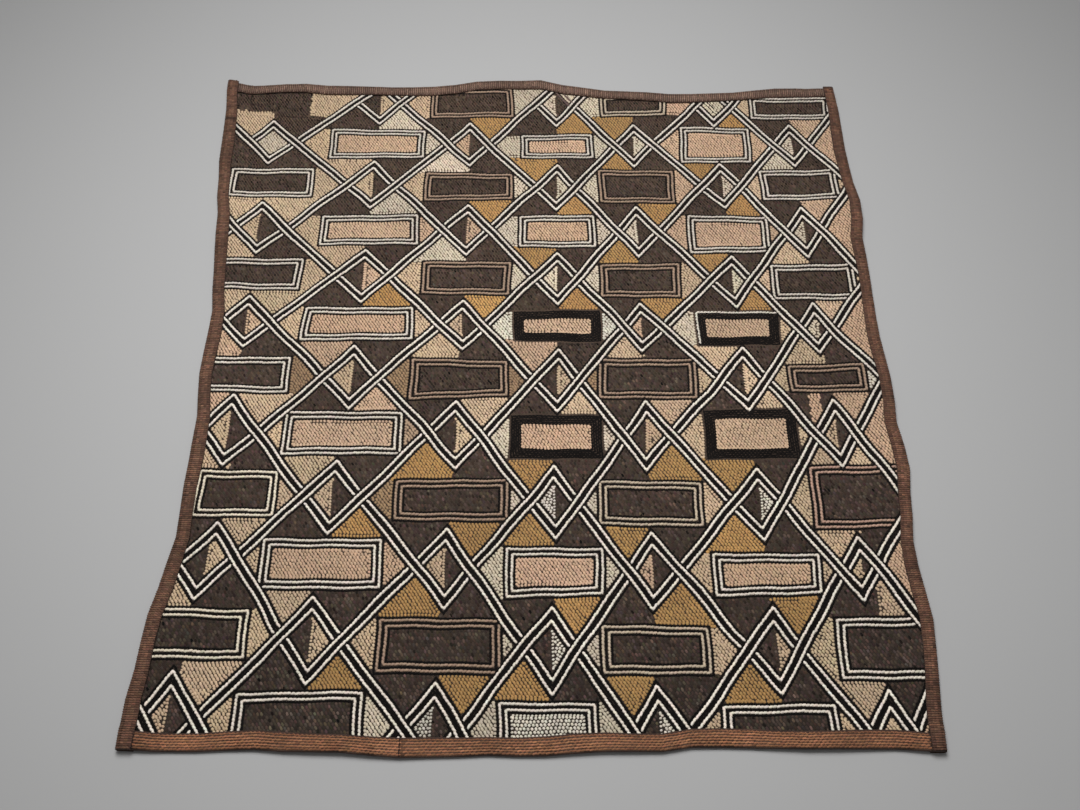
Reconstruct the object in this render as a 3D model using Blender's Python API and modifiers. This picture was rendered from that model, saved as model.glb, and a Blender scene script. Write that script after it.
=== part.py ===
"""An embroidered raffia panel lying flat, with a folded strip sewn over each of its edges.

Metres, +Z up. The origin is under the middle of the cloth, on the surface that it lies on.
+X is the cloth's right-hand side and +Y its top.
"""

import math
from collections import namedtuple

import bmesh
import bpy

# The cloth as it was cut, before its edges were pulled out of true.
CLOTH_WIDTH = 0.590
CLOTH_HEIGHT = 0.648
PANEL_THICKNESS = 0.0019
STRIP_THICKNESS = 0.0010
STRIP_WIDTHS = {"left": 0.0117, "right": 0.0108, "bottom": 0.0133, "top": 0.0120}
STRIP_WIDTH_WANDER = 0.0006
STRIP_WANDER_LENGTH = 0.110
FOLD_RADIUS = 0.00225
CLEARANCE = 0.0003
PANEL_INSET = 0.0022

# How far the panel rises where it enters the fold, and the whole height of a folded edge.
EDGE_RISE = STRIP_THICKNESS + CLEARANCE
FOLD_HEIGHT = PANEL_THICKNESS + 2 * (STRIP_THICKNESS + CLEARANCE)

# Distances in from an edge: the level part under a strip, and the end of the slope to the floor.
LEVEL_END = 0.0142
STEP_END = 0.0200
SLOPE_MIDDLE = 0.0270
SLOPE_END = 0.0360
RIPPLE_REACH = 0.0750
MESH_STEP = 0.0214

# Where each edge runs: the place along the edge, and how far the edge stands from the middle.
EdgePoint = namedtuple("EdgePoint", "along out")
LEFT_EDGE = [EdgePoint(*row) for row in (
    (-0.322, 0.2961), (-0.293, 0.2957), (-0.260, 0.2920), (-0.225, 0.2896), (-0.185, 0.2825),
    (-0.155, 0.2783), (-0.126, 0.2789), (-0.085, 0.2774), (-0.055, 0.2767), (-0.012, 0.2814),
    (0.015, 0.2810), (0.046, 0.2793), (0.090, 0.2833), (0.115, 0.2856), (0.155, 0.2886),
    (0.190, 0.2932), (0.230, 0.2967), (0.270, 0.2975), (0.324, 0.3007),
)]
RIGHT_EDGE = [EdgePoint(*row) for row in (
    (-0.324, 0.2912), (-0.300, 0.2922), (-0.270, 0.2950), (-0.226, 0.2978), (-0.180, 0.2928),
    (-0.158, 0.2923), (-0.130, 0.2963), (-0.090, 0.3004), (-0.050, 0.2954), (-0.025, 0.2970),
    (0.045, 0.2936), (0.080, 0.2939), (0.105, 0.2943), (0.140, 0.2928), (0.170, 0.2970),
    (0.210, 0.2927), (0.240, 0.2912), (0.290, 0.2912), (0.320, 0.2890),
)]
BOTTOM_EDGE = [EdgePoint(*row) for row in (
    (-0.295, 0.3227), (-0.265, 0.3239), (-0.240, 0.3240), (-0.220, 0.3231), (-0.200, 0.3226),
    (-0.175, 0.3242), (-0.137, 0.3251), (-0.095, 0.3284), (-0.060, 0.3277), (-0.030, 0.3265),
    (-0.005, 0.3274), (0.015, 0.3271), (0.045, 0.3243), (0.096, 0.3242), (0.120, 0.3206),
    (0.150, 0.3214), (0.200, 0.3226), (0.235, 0.3224), (0.255, 0.3222), (0.292, 0.3242),
)]
TOP_EDGE = [EdgePoint(*row) for row in (
    (-0.295, 0.3240), (-0.270, 0.3188), (-0.245, 0.3206), (-0.220, 0.3202), (-0.190, 0.3170),
    (-0.165, 0.3178), (-0.133, 0.3173), (-0.105, 0.3174), (-0.075, 0.3195), (-0.045, 0.3230),
    (-0.016, 0.3232), (0.012, 0.3257), (0.043, 0.3179), (0.072, 0.3129), (0.102, 0.3108),
    (0.131, 0.3065), (0.160, 0.3067), (0.189, 0.3093), (0.219, 0.3131), (0.248, 0.3165),
    (0.275, 0.3145), (0.292, 0.3145),
)]

# Gentle waves that lift the edges off the floor.
Ripple = namedtuple("Ripple", "side centre half_length height")
RIPPLES = [Ripple(*row) for row in (
    ("left", -0.245, 0.075, 0.0022), ("left", -0.070, 0.090, 0.0030), ("left", 0.125, 0.080, 0.0024),
    ("right", -0.180, 0.070, 0.0026), ("right", -0.020, 0.070, 0.0020), ("right", 0.172, 0.085, 0.0030),
    ("bottom", -0.140, 0.080, 0.0024), ("bottom", 0.060, 0.075, 0.0018), ("bottom", 0.205, 0.060, 0.0022),
    ("top", -0.200, 0.070, 0.0022), ("top", -0.030, 0.070, 0.0030), ("top", 0.140, 0.080, 0.0020),
)]

Finish = namedtuple("Finish", "colour roughness metallic")
PANEL_FINISH = Finish((0.36, 0.25, 0.16), 0.85, 0.0)
BINDING_FINISH = Finish((0.17, 0.085, 0.055), 0.80, 0.0)


def ease(share):
    """Smooth 0 to 1 as share goes from 0 to 1."""
    share = min(max(share, 0.0), 1.0)
    return 0.5 - 0.5 * math.cos(math.pi * share)


def edge_out(points, along):
    """Distance of a wandering edge from the cloth's middle at a place along it."""
    if along <= points[0].along:
        return points[0].out
    for near, far in zip(points, points[1:]):
        if along <= far.along:
            share = (along - near.along) / (far.along - near.along)
            return near.out + (far.out - near.out) * ease(share)
    return points[-1].out


def plan(s, t):
    """Place in plan of the cut cloth's point (s, t) once the edges are pulled out of true."""
    across = s / CLOTH_WIDTH + 0.5
    up = t / CLOTH_HEIGHT + 0.5
    left = -edge_out(LEFT_EDGE, t)
    right = edge_out(RIGHT_EDGE, t)
    bottom = -edge_out(BOTTOM_EDGE, s)
    top = edge_out(TOP_EDGE, s)
    return left + (right - left) * across, bottom + (top - bottom) * up


def inset(position, length):
    """Distance of a signed position in from the nearer end of a length."""
    return length / 2 - abs(position)


def slope(distance):
    """1 under a strip, easing to 0 where the panel meets the floor."""
    return 1.0 - ease((distance - LEVEL_END) / (SLOPE_END - LEVEL_END))


def ripple(s, t):
    """Height that the edge waves add at the cut cloth's point (s, t)."""
    from_side = {
        "left": s + CLOTH_WIDTH / 2,
        "right": CLOTH_WIDTH / 2 - s,
        "bottom": t + CLOTH_HEIGHT / 2,
        "top": CLOTH_HEIGHT / 2 - t,
    }
    height = 0.0
    for wave in RIPPLES:
        along = t if wave.side in ("left", "right") else s
        off_centre = abs(along - wave.centre) / wave.half_length
        inward = (from_side[wave.side] - LEVEL_END) / (RIPPLE_REACH - LEVEL_END)
        height += wave.height * (1.0 - ease(off_centre)) * (1.0 - ease(inward))
    return height


def panel_underside(s, t):
    """Height of the panel's underside."""
    rise = slope(inset(s, CLOTH_WIDTH)) + slope(inset(t, CLOTH_HEIGHT))
    return EDGE_RISE * rise + ripple(s, t)


def stations(length, ends):
    """Signed places along a length, closer together near both ends."""
    near_end = list(ends) + [LEVEL_END, STEP_END, SLOPE_MIDDLE]
    half = length / 2
    middle = half - SLOPE_END
    count = 2 * round(middle / MESH_STEP) + 1
    low = [-half + distance for distance in near_end]
    even = [-middle + 2 * middle * step / count for step in range(count + 1)]
    return low + even + [-place for place in reversed(low)]


def fold_section(height, width):
    """Outer face of a folded strip from its lower inner edge round to its upper inner edge."""
    lower = [(width, 0.0), (width / 2, 0.0), (FOLD_RADIUS, 0.0)]
    turn = [
        (FOLD_RADIUS * (1.0 - math.cos(angle)), height / 2 * (1.0 + math.sin(angle)))
        for angle in (-math.pi / 4, 0.0, math.pi / 4)
    ]
    upper = [(distance, height) for distance, _ in reversed(lower)]
    return lower + turn + upper


def strip_width(side, along):
    """Width of one side's strip, a little uneven along its run."""
    return STRIP_WIDTHS[side] + STRIP_WIDTH_WANDER * math.sin(2 * math.pi * along / STRIP_WANDER_LENGTH)


def side_strip_height(t):
    """Height of a side strip's fold, taller where it holds an end of the top or bottom strip."""
    distance = inset(t, CLOTH_HEIGHT)
    cover = 1.0 - min(max((distance - LEVEL_END) / (STEP_END - LEVEL_END), 0.0), 1.0)
    return FOLD_HEIGHT + EDGE_RISE * (slope(distance) + cover)


def side_strip_point(direction, t, index):
    """Point of a side strip's outer face; direction is -1 on the left and +1 on the right."""
    side = "left" if direction < 0 else "right"
    distance, height = fold_section(side_strip_height(t), strip_width(side, t))[index]
    s = direction * (CLOTH_WIDTH / 2 - distance)
    x, y = plan(s, t)
    return x, y, height + ripple(s, t)


def end_strip_point(direction, s, index):
    """Point of the bottom (-1) or top (+1) strip's outer face."""
    side = "bottom" if direction < 0 else "top"
    distance, height = fold_section(FOLD_HEIGHT, strip_width(side, s))[index]
    t = direction * (CLOTH_HEIGHT / 2 - distance)
    x, y = plan(s, t)
    return x, y, height + EDGE_RISE * slope(inset(s, CLOTH_WIDTH)) + ripple(s, t)


def panel_point(s, t):
    """Point of the panel's underside."""
    x, y = plan(s, t)
    return x, y, panel_underside(s, t)


def make_material(name, finish):
    """Plain material with a finish's colour, roughness and metallic value."""
    material = bpy.data.materials.new(name)
    material.use_nodes = True
    shader = material.node_tree.nodes["Principled BSDF"]
    shader.inputs["Base Color"].default_value = (*finish.colour, 1.0)
    shader.inputs["Roughness"].default_value = finish.roughness
    shader.inputs["Metallic"].default_value = finish.metallic
    return material


def make_sheet(name, columns, rows, place, face_down, thickness, offset, finish, collection):
    """Cloth sheet of columns by rows cells, set out by place(column, row) and then thickened."""
    bm = bmesh.new()
    bmesh.ops.create_grid(bm, x_segments=columns, y_segments=rows, size=0.5)
    for vert in bm.verts:
        column = round((vert.co.x + 0.5) * columns)
        row = round((vert.co.y + 0.5) * rows)
        vert.co = place(column, row)
    if face_down:
        bmesh.ops.reverse_faces(bm, faces=bm.faces)
    mesh = bpy.data.meshes.new(name)
    bm.to_mesh(mesh)
    bm.free()
    mesh.materials.append(make_material(name, finish))
    mesh.shade_smooth()
    sheet = bpy.data.objects.new(name, mesh)
    collection.objects.link(sheet)
    solidify = sheet.modifiers.new("cloth thickness", "SOLIDIFY")
    solidify.thickness = thickness
    solidify.offset = offset
    return sheet


def make_panel(collection):
    """The embroidered panel, with its edges raised into the folds."""
    s_places = stations(CLOTH_WIDTH, [PANEL_INSET])
    t_places = stations(CLOTH_HEIGHT, [PANEL_INSET])
    return make_sheet(
        "embroidered_field", len(s_places) - 1, len(t_places) - 1,
        lambda column, row: panel_point(s_places[column], t_places[row]),
        False, PANEL_THICKNESS, 1.0, PANEL_FINISH, collection,
    )


def make_strip(name, direction, places, point, face_down, collection):
    """One folded binding strip along its edge."""
    section_cells = len(fold_section(FOLD_HEIGHT, max(STRIP_WIDTHS.values()))) - 1
    return make_sheet(
        name, section_cells, len(places) - 1,
        lambda column, row: point(direction, places[row], column),
        face_down, STRIP_THICKNESS, -1.0, BINDING_FINISH, collection,
    )


def clear_scene():
    """Remove whatever the scene holds."""
    for item in list(bpy.data.objects):
        bpy.data.objects.remove(item, do_unlink=True)


def main():
    """Build the cloth's five pieces."""
    clear_scene()
    collection = bpy.data.collections.new("kuba_raffia_cloth")
    bpy.context.scene.collection.children.link(collection)
    make_panel(collection)
    end_places = stations(CLOTH_WIDTH, [PANEL_INSET])
    make_strip("binding_bottom", -1, end_places, end_strip_point, True, collection)
    make_strip("binding_top", 1, end_places, end_strip_point, False, collection)
    side_places = stations(CLOTH_HEIGHT, [0.0, LEVEL_END / 2])
    make_strip("binding_left", -1, side_places, side_strip_point, False, collection)
    make_strip("binding_right", 1, side_places, side_strip_point, True, collection)


main()
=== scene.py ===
"""Dresses an embroidered raffia cloth: its ground weave, its raised stitches and its folded binding.

Metres. The cloth lies on the floor with +X to its right-hand side and +Y towards its top.
"""

import json
import logging
import math
from dataclasses import dataclass, field
from enum import Enum
from functools import partial
from typing import Callable, Iterator

import bmesh
import bpy
import numpy as np
from mathutils import Matrix, Vector
from mathutils.bvhtree import BVHTree


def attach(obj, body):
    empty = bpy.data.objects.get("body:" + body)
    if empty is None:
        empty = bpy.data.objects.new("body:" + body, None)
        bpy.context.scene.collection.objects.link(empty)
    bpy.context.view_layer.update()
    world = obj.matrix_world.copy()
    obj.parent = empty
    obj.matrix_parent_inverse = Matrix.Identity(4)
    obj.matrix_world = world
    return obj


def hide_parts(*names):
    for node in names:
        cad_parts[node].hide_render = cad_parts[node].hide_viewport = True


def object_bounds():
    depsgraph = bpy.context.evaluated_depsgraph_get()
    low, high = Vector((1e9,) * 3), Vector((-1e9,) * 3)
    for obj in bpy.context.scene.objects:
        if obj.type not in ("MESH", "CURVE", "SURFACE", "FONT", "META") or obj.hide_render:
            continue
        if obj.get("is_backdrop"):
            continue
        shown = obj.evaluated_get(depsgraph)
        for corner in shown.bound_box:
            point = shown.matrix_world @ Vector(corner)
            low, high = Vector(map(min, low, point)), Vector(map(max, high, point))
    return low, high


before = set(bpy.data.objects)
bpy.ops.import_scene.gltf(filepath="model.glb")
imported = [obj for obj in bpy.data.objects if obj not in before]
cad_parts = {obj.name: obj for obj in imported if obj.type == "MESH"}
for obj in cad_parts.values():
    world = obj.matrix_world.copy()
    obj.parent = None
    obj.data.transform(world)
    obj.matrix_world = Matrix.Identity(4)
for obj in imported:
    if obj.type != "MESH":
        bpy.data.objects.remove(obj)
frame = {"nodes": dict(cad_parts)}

LOG = logging.getLogger("raffia_cloth")
Hiding = Callable[[np.ndarray], np.ndarray]
MM = 0.001
SEED = 11
BODY = "root"
PANEL = "embroidered_field"
STRIPS = ("binding_top", "binding_bottom", "binding_left", "binding_right")
CAD_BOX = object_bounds()

# Widths across a band, from its middle line outwards, and across a block's frame, inwards.
LIGHT_WIDTH = 2.4 * MM
DARK_WIDTH = 2.05 * MM
BAND_HALF = 5.6 * MM
UNDER_STOP = 5.0 * MM
CORE_LINES = (-0.8 * MM, 0.8 * MM)
BAND_LIGHT_LINES = (-2.75 * MM, 2.75 * MM)
BAND_EDGE_LINES = (-4.7 * MM, 4.7 * MM)
FRAME_DEPTH = 7.7 * MM
FRAME_OUTSIDE = 1.5 * MM
FRAME_LIGHT_LINES = (1.1 * MM, 5.2 * MM)
FRAME_DARK_LINES = (-0.8 * MM, 3.15 * MM, 7.1 * MM)
SOLID_FRAME_LINES = (0.6 * MM, 2.4 * MM, 4.2 * MM, 6.0 * MM, 7.8 * MM)

# Bars across one knot, from the leg below them.
KNOT_BARS = (8.0 * MM, 11.5 * MM)

# How wide bands and frames are in the top row, against the middle of the cloth, and the change a row.
TOP_WIDENING = 0.90
WIDENING_STEP = 0.018

# Margin round the faces on the ground's map.
MAP_MARGIN = 0.02

# How far the corners of a block wander from square.
CORNER_WANDER = 0.7 * MM

# Step at which a line is tested for being covered.
RUN_STEP = 0.4 * MM

# Heights between which colours grow lighter or darker, from the cloth's bottom to its top.
CLOTH_SPAN = (-0.3, 0.3)

# Range that a noise texture mostly keeps to.
NOISE_RANGE = (0.3, 0.7)

# Darkest that a thread gets, as a linear value.
DARKEST = 0.002

# How far a face's normal must point up for the face to count as part of the top.
FACES_UP = 0.5

# How far the ground lies under the top of the plain panel, and how far stitches tuck under a strip.
GROUND_SINK = 0.7 * MM
LIP_TUCK = 0.008


class Shade(Enum):
    """Shades of dyed raffia in the fills, keyed by the letters of the charts."""

    DARK = "k"
    CREAM = "c"
    WHITE = "w"
    SPECKLED = "s"
    TAN = "t"
    PINK = "p"
    OCHRE = "o"
    BROWN = "b"
    STRIPED = "v"
    BARE = "."


class Frame(Enum):
    """Ways in which a block is framed, keyed by the letters of the chart."""

    CREAM = "c"
    THICK_CREAM = "C"
    BROWN = "b"
    GREY = "g"
    ROSE = "p"
    SOLID = "x"
    SOLID_EDGED = "y"
    NONE = "n"


@dataclass(frozen=True)
class Thread:
    """Display colour of a line's thread, how far each stitch reaches over the next, and its wear.

    Wear is how light the thread is at the bottom and at the top of the cloth.
    """

    colour: tuple[int, int, int]
    overlap: float = 1.45
    wear: tuple[float, float] = (1.0, 1.0)


THREAD_COLOURS = {
    Shade.DARK: (66, 54, 47),
    Shade.CREAM: (220, 205, 180),
    Shade.WHITE: (224, 216, 198),
    Shade.SPECKLED: (236, 226, 208),
    Shade.TAN: (216, 188, 154),
    Shade.PINK: (214, 180, 148),
    Shade.OCHRE: (190, 146, 86),
    Shade.BROWN: (164, 132, 98),
}
PALE_SHADES = (Shade.CREAM, Shade.WHITE, Shade.SPECKLED, Shade.PINK)
LINE_CREAM = Thread((242, 231, 216), wear=(1.04, 0.86))
LINE_BLACK = Thread((11, 8, 7), 1.9, (1.0, 3.0))
DIM_BROWN = Thread((104, 82, 76))
FRAME_THREADS = {
    Frame.CREAM: Thread((224, 213, 198), wear=(1.10, 0.86)),
    Frame.THICK_CREAM: Thread((234, 221, 198)),
    Frame.BROWN: Thread((166, 139, 117)),
    Frame.GREY: Thread((194, 176, 153)),
    Frame.ROSE: Thread((186, 151, 131)),
    Frame.SOLID_EDGED: Thread((222, 212, 197)),
}


@dataclass(frozen=True)
class Column:
    """One column of the lattice.

    Attributes hold its place across the cloth, in millimetres, at four heights.
    """

    top: float
    middle: float
    lower: float
    bottom: float


@dataclass(frozen=True)
class Row:
    """One row of the lattice: its height at the left, middle and right, and its knots' height, in mm."""

    left: float
    middle: float
    right: float
    knot: float


@dataclass(frozen=True)
class Block:
    """One framed block and the fills round it.

    around holds the upper left, upper right, lower left, lower right, left-end and right-end fills.
    """

    width: float
    height: float
    around: str
    inside: Shade
    frame: Frame
    shift: float = 0.0
    lift: float = 0.0
    sag: float = 0.0


COLUMN_STATIONS = (300.0, 0.0, -180.0, -300.0)
COLUMNS = {
    "A": Column(-251, -249, -252, -264),
    "B": Column(-150, -153, -164, -170),
    "C": Column(-62, -63, -68, -73),
    "D": Column(19, 19, 15, 10),
    "E": Column(92, 91, 90, 89),
    "F": Column(170, 175, 178, 180),
    "G": Column(241, 244, 250, 256),
}
LEFT_SPACING = 88.0
RIGHT_SPACING = 64.0

ROW_STATIONS = (-250.0, 0.0, 240.0)
ROWS = (
    Row(299, 295, 291, 56),
    Row(248, 243, 244, 57),
    Row(198, 193, 195, 58),
    Row(145, 142, 140, 62),
    Row(93, 89, 85, 60),
    Row(43, 39, 36, 54),
    Row(-11, -15, -14, 65),
    Row(-63, -70, -66, 68),
    Row(-121, -128, -131, 68),
    Row(-178, -187, -186, 69),
    Row(-237, -249, -249, 71),
    Row(-299, -309, -312, 71),
)
ABOVE_SPACING = 54.0
BELOW_SPACING = 76.0


def block(
    width: float,
    height: float,
    around: str,
    inside: str,
    frame_kind: str,
    shift: float = 0.0,
    lift: float = 0.0,
    sag: float = 0.0,
) -> Block:
    """Chart entry for one block.

    Args:
        width: Width to the frame's outer light line, in millimetres.
        height: Height, likewise.
        around: Letters of the six fills round the block.
        inside: Letter of the fill inside it.
        frame_kind: Letter of the frame.
        shift: How far the block's middle stands right of its column, in millimetres.
        lift: How far it stands above its row, likewise.
        sag: How far its lower right corner hangs, likewise.

    Returns:
        The block.
    """
    return Block(width, height, around, Shade(inside), Frame(frame_kind), shift, lift, sag)


BLOCKS = {
    "A0": block(66, 30, "kktkkt", "k", "n", 0, 4, 8),
    "C0": block(79, 35, "tckotc", "k", "b", 1),
    "E0": block(62, 27, "cpokcp", "k", "g", 1),
    "G0": block(76, 27, "ttkptt", "k", "c", 3),
    "B1": block(89, 34, "kctktc", "p", "c", 1),
    "D1": block(67, 29, "kookcc", "p", "c", 1),
    "F1": block(66, 43, "kookpp", "p", "c", -2),
    "A2": block(77, 35, "kktttt", "k", "c", 5),
    "C2": block(81, 32, "ckkotc", "k", "b", 1),
    "E2": block(68, 39, "okkocp", "k", "b", 1),
    "G2": block(69, 36, "ckkptt", "k", "c", 1),
    "B3": block(88, 33, "kctktp", "p", "c", 1),
    "D3": block(70, 36, "kookcc", "p", "c", 1),
    "F3": block(73, 41, "kookpp", "p", "c", 1, -3),
    "A4": block(84, 33, "tktttt", "k", "c", 1),
    "C4": block(79, 35, "ckkotc", "k", "b", 1),
    "E4": block(69, 36, "okkoct", "k", "b", 1),
    "G4": block(73, 37, "tkkttt", "k", "c", 1),
    "B5": block(95, 33, "kopktt", "p", "c"),
    "D5": block(73, 30, "kopkww", "p", "x"),
    "F5": block(70, 34, "kotkct", "p", "y"),
    "A6": block(84, 35, "pkptbb", "k", "c"),
    "C6": block(82, 37, "tkktbb", "k", "b"),
    "E6": block(81, 38, "tkkpbt", "k", "b", 3),
    "G6": block(64, 26, "tkvptw", "k", "b"),
    "B7": block(96, 39, "kptktp", "p", "c"),
    "D7": block(74, 39, "ktokcc", "p", "x"),
    "F7": block(75, 44, "ktoktt", "p", "x"),
    "A8": block(64, 41, "tkkttt", "k", "C", 14),
    "C8": block(91, 37, "okkobc", "k", "b"),
    "E8": block(82, 38, "kookct", "k", "g", 1),
    "G8": block(76, 52, "tttktt", "k", "p", 9, 7),
    "B9": block(95, 41, "kotktp", "p", "c"),
    "D9": block(75, 40, "okkocc", "p", "c"),
    "F9": block(83, 35, "okkott", "p", "c", 0, -3),
    "A10": block(88, 39, "tkkttt", "k", "C"),
    "C10": block(92, 42, "okkotc", "k", "b"),
    "E10": block(80, 37, "kookct", "k", "g"),
    "G10": block(78, 47, "kttktt", "k", "c", 9, 1),
    "B11": block(95, 42, "ko..tc", "k", "c"),
    "D11": block(70, 40, "ok..cc", "s", "c"),
    "F11": block(82, 42, "ok..tt", "k", "c", -4),
}

# The left and right fill of each knot, row by row.
KNOTS = {
    "B0": "kt", "D0": "ck", "F0": "cc",
    "A1": "cc", "C1": "pk", "E1": "kc", "G1": "ck",
    "B2": "tk", "D2": "kc", "F2": "kc",
    "A3": "tk", "C3": "kp", "E3": "ck", "G3": "ck",
    "B4": "kp", "D4": "ck", "F4": "kc",
    "A5": "kp", "C5": "tk", "E5": "pk", "G5": "ck",
    "B6": "tk", "D6": "kt", "F6": "kt",
    "A7": "tk", "C7": "kt", "E7": "kp", "G7": "tk",
    "B8": "tk", "D8": "sk", "F8": "ks",
    "A9": "kt", "C9": "tk", "E9": "pk", "G9": "tk",
    "B10": "kt", "D10": "ks", "F10": "kt",
    "A11": "tk", "C11": "sk", "E11": "ks", "G11": "tt",
}

# How far the top and the bottom turn of an uneven knot stand right of and above their even places, in mm.
KNOT_TURNS = {
    "A9": ((5.5, 0.0), (-4.5, 0.0)),
    "G5": ((-3.0, 0.0), (-3.0, 0.0)),
    "G9": ((0.0, -4.5), (-2.0, 8.0)),
}

# The fills of a knot past the edges of the chart.
EDGE_KNOT = "tk"

# Where the light stripe stands in the striped space at the right.
STRIPE_LEFT = 227 * MM
STRIPE_RIGHT = 236.5 * MM


def linear(colour: tuple[int, int, int]) -> tuple[float, float, float]:
    """Linear light values of a colour given as 0 to 255 display values."""
    shares = [value / 255 for value in colour]
    return tuple(s / 12.92 if s <= 0.04045 else ((s + 0.055) / 1.055) ** 2.4 for s in shares)


@dataclass
class Lattice:
    """The lattice of zigzag bands, with its knots and blocks, worked out from the column and row tables."""

    rng: np.random.Generator
    wander: float = 1.1 * MM
    leg_wander: float = 0.55 * MM
    leg_shares: tuple[float, float, float] = (0.0, 0.3, 0.65)
    leg_clearance: float = 3.0 * MM
    open_knot_reach: float = 25.0 * MM
    band_points: dict[int, np.ndarray] = field(default_factory=dict)

    def __post_init__(self) -> None:
        """Set out every band once."""
        for row in range(-1, len(ROWS)):
            self.band_points[row] = self.set_out_band(row)

    def column_x(self, index: int, y: float) -> float:
        """Place across the cloth of a column at a height.

        Args:
            index: The column; -1 and 7 lie past the edges.
            y: The height.

        Returns:
            Its place along x.
        """
        names = list(COLUMNS)
        inner = min(max(index, 0), len(names) - 1)
        column = COLUMNS[names[inner]]
        places = (column.bottom, column.lower, column.middle, column.top)
        x = np.interp(y / MM, COLUMN_STATIONS[::-1], places)
        spacing = LEFT_SPACING if index < inner else RIGHT_SPACING
        return (x + spacing * (index - inner)) * MM

    def row_y(self, index: int, x: float) -> float:
        """Height of a row at a place across the cloth.

        Args:
            index: The row; rows past the edges carry on evenly.
            x: The place.

        Returns:
            Its height.
        """
        inner = min(max(index, 0), len(ROWS) - 1)
        row = ROWS[inner]
        y = np.interp(x / MM, ROW_STATIONS, (row.left, row.middle, row.right))
        spacing = ABOVE_SPACING if index < inner else BELOW_SPACING
        return (y - spacing * (index - inner)) * MM

    def knot_height(self, index: int) -> float:
        """Height of the knots in a row, over their light lines."""
        return ROWS[min(max(index, 0), len(ROWS) - 1)].knot * MM

    def centre(self, column: int, row: int) -> tuple[float, float]:
        """Middle of a lattice cell."""
        x = self.column_x(column, self.row_y(row, 0.0))
        return x, self.row_y(row, x)

    def set_out_band(self, row: int) -> np.ndarray:
        """Turning points of one zigzag band, left to right.

        Args:
            row: The row whose knots the band caps; its valleys hang from the knots of the row below.

        Returns:
            An array of x and y, one line for each turn.
        """
        columns = range(-1, len(COLUMNS) + 1)
        signs = np.array([1 if (column + row) % 2 == 1 else -1 for column in columns])
        knot_rows = [row if sign > 0 else row + 1 for sign in signs]
        centres = np.array([self.centre(column, knot) for column, knot in zip(columns, knot_rows)])
        reach = np.array([self.knot_height(knot) / 2 for knot in knot_rows])
        outer = BAND_LIGHT_LINES[1] + LIGHT_WIDTH / 2
        turns = centres + np.stack((0 * reach, signs * (reach - outer)), axis=1)
        steps = np.diff(turns, axis=0)
        stretch = np.hypot(steps[:, 0], steps[:, 1]) / steps[:, 0]
        mitre = outer * (np.append(stretch, stretch[-1]) + np.insert(stretch, 0, stretch[0])) / 2
        turns[:, 1] = centres[:, 1] + signs * (reach - mitre)
        for index, (column, sign, knot) in enumerate(zip(columns, signs, knot_rows)):
            if 0 <= column < len(COLUMNS) and self.cell_name(column, knot) in KNOT_TURNS:
                top_turn, bottom_turn = KNOT_TURNS[self.cell_name(column, knot)]
                turns[index] += np.array(top_turn if sign > 0 else bottom_turn) * MM
        turns += self.rng.normal(0.0, self.wander / 2, turns.shape)
        shares = np.array(self.leg_shares)[None, :, None]
        legs = turns[:-1, None] + shares * (turns[1:, None] - turns[:-1, None])
        legs[:, 1:] += self.rng.normal(0.0, self.leg_wander, legs[:, 1:].shape)
        return np.concatenate((legs.reshape(-1, 2), turns[-1:]))

    @staticmethod
    def widening(row: int) -> float:
        """How wide bands and frames are in a row, against the middle of the cloth."""
        return TOP_WIDENING + WIDENING_STEP * row

    def band_height(self, row: int, x: np.ndarray) -> np.ndarray:
        """Height of a band's middle line at places across the cloth."""
        points = self.band_points[row]
        return np.interp(x, points[:, 0], points[:, 1])

    def band_slope(self, row: int, x: np.ndarray) -> np.ndarray:
        """Slope of a band's middle line at places across the cloth.

        Args:
            row: The band's row.
            x: The places.

        Returns:
            The rise for each step to the right.
        """
        points = self.band_points[row]
        leg = np.clip(np.searchsorted(points[:, 0], x) - 1, 0, len(points) - 2)
        step = points[leg + 1] - points[leg]
        return step[:, 1] / step[:, 0]

    def band_distance(self, row: int, points: np.ndarray) -> np.ndarray:
        """Distance of points from a band's middle line, measured square to its legs."""
        slope = self.band_slope(row, points[:, 0])
        return np.abs(points[:, 1] - self.band_height(row, points[:, 0])) / np.hypot(1.0, slope)

    def nearest_band(self, points: np.ndarray) -> np.ndarray:
        """Distance of points from the nearest stitched band, over that band's widening.

        Args:
            points: Places on the cloth.

        Returns:
            The distances.
        """
        gaps = [
            np.where(self.left_out(row, points), 1.0, self.band_distance(row, points) / self.widening(row))
            for row in self.band_points
        ]
        return np.min(gaps, axis=0)

    def left_out(self, row: int, points: np.ndarray) -> np.ndarray:
        """Which points near a band lie beside a leg that was never stitched.

        The legs above the topmost row fall away to the left of its knots. The first knot of the
        second row has no leg to its left, and the middle knot of the top row is open on its right.

        Args:
            row: The band's row.
            points: Places near it.

        Returns:
            An array of truth values.
        """
        falling = self.band_slope(row, points[:, 0]) < 0
        if row == -1:
            return falling & (points[:, 1] > self.band_height(0, points[:, 0]) - self.leg_clearance)
        if row == 0:
            reach = self.open_knot_reach
            right_half = np.abs(points[:, 0] - self.centre(3, 0)[0] - reach) < reach
            in_knot = points[:, 1] > self.band_height(-1, points[:, 0]) + self.leg_clearance
            return falling & in_knot & right_half
        if row == 1:
            beyond = points[:, 1] < self.band_height(0, points[:, 0]) - self.leg_clearance
            return ~falling & beyond & (points[:, 0] < self.centre(0, 1)[0])
        return np.zeros(len(points), dtype=bool)

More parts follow.
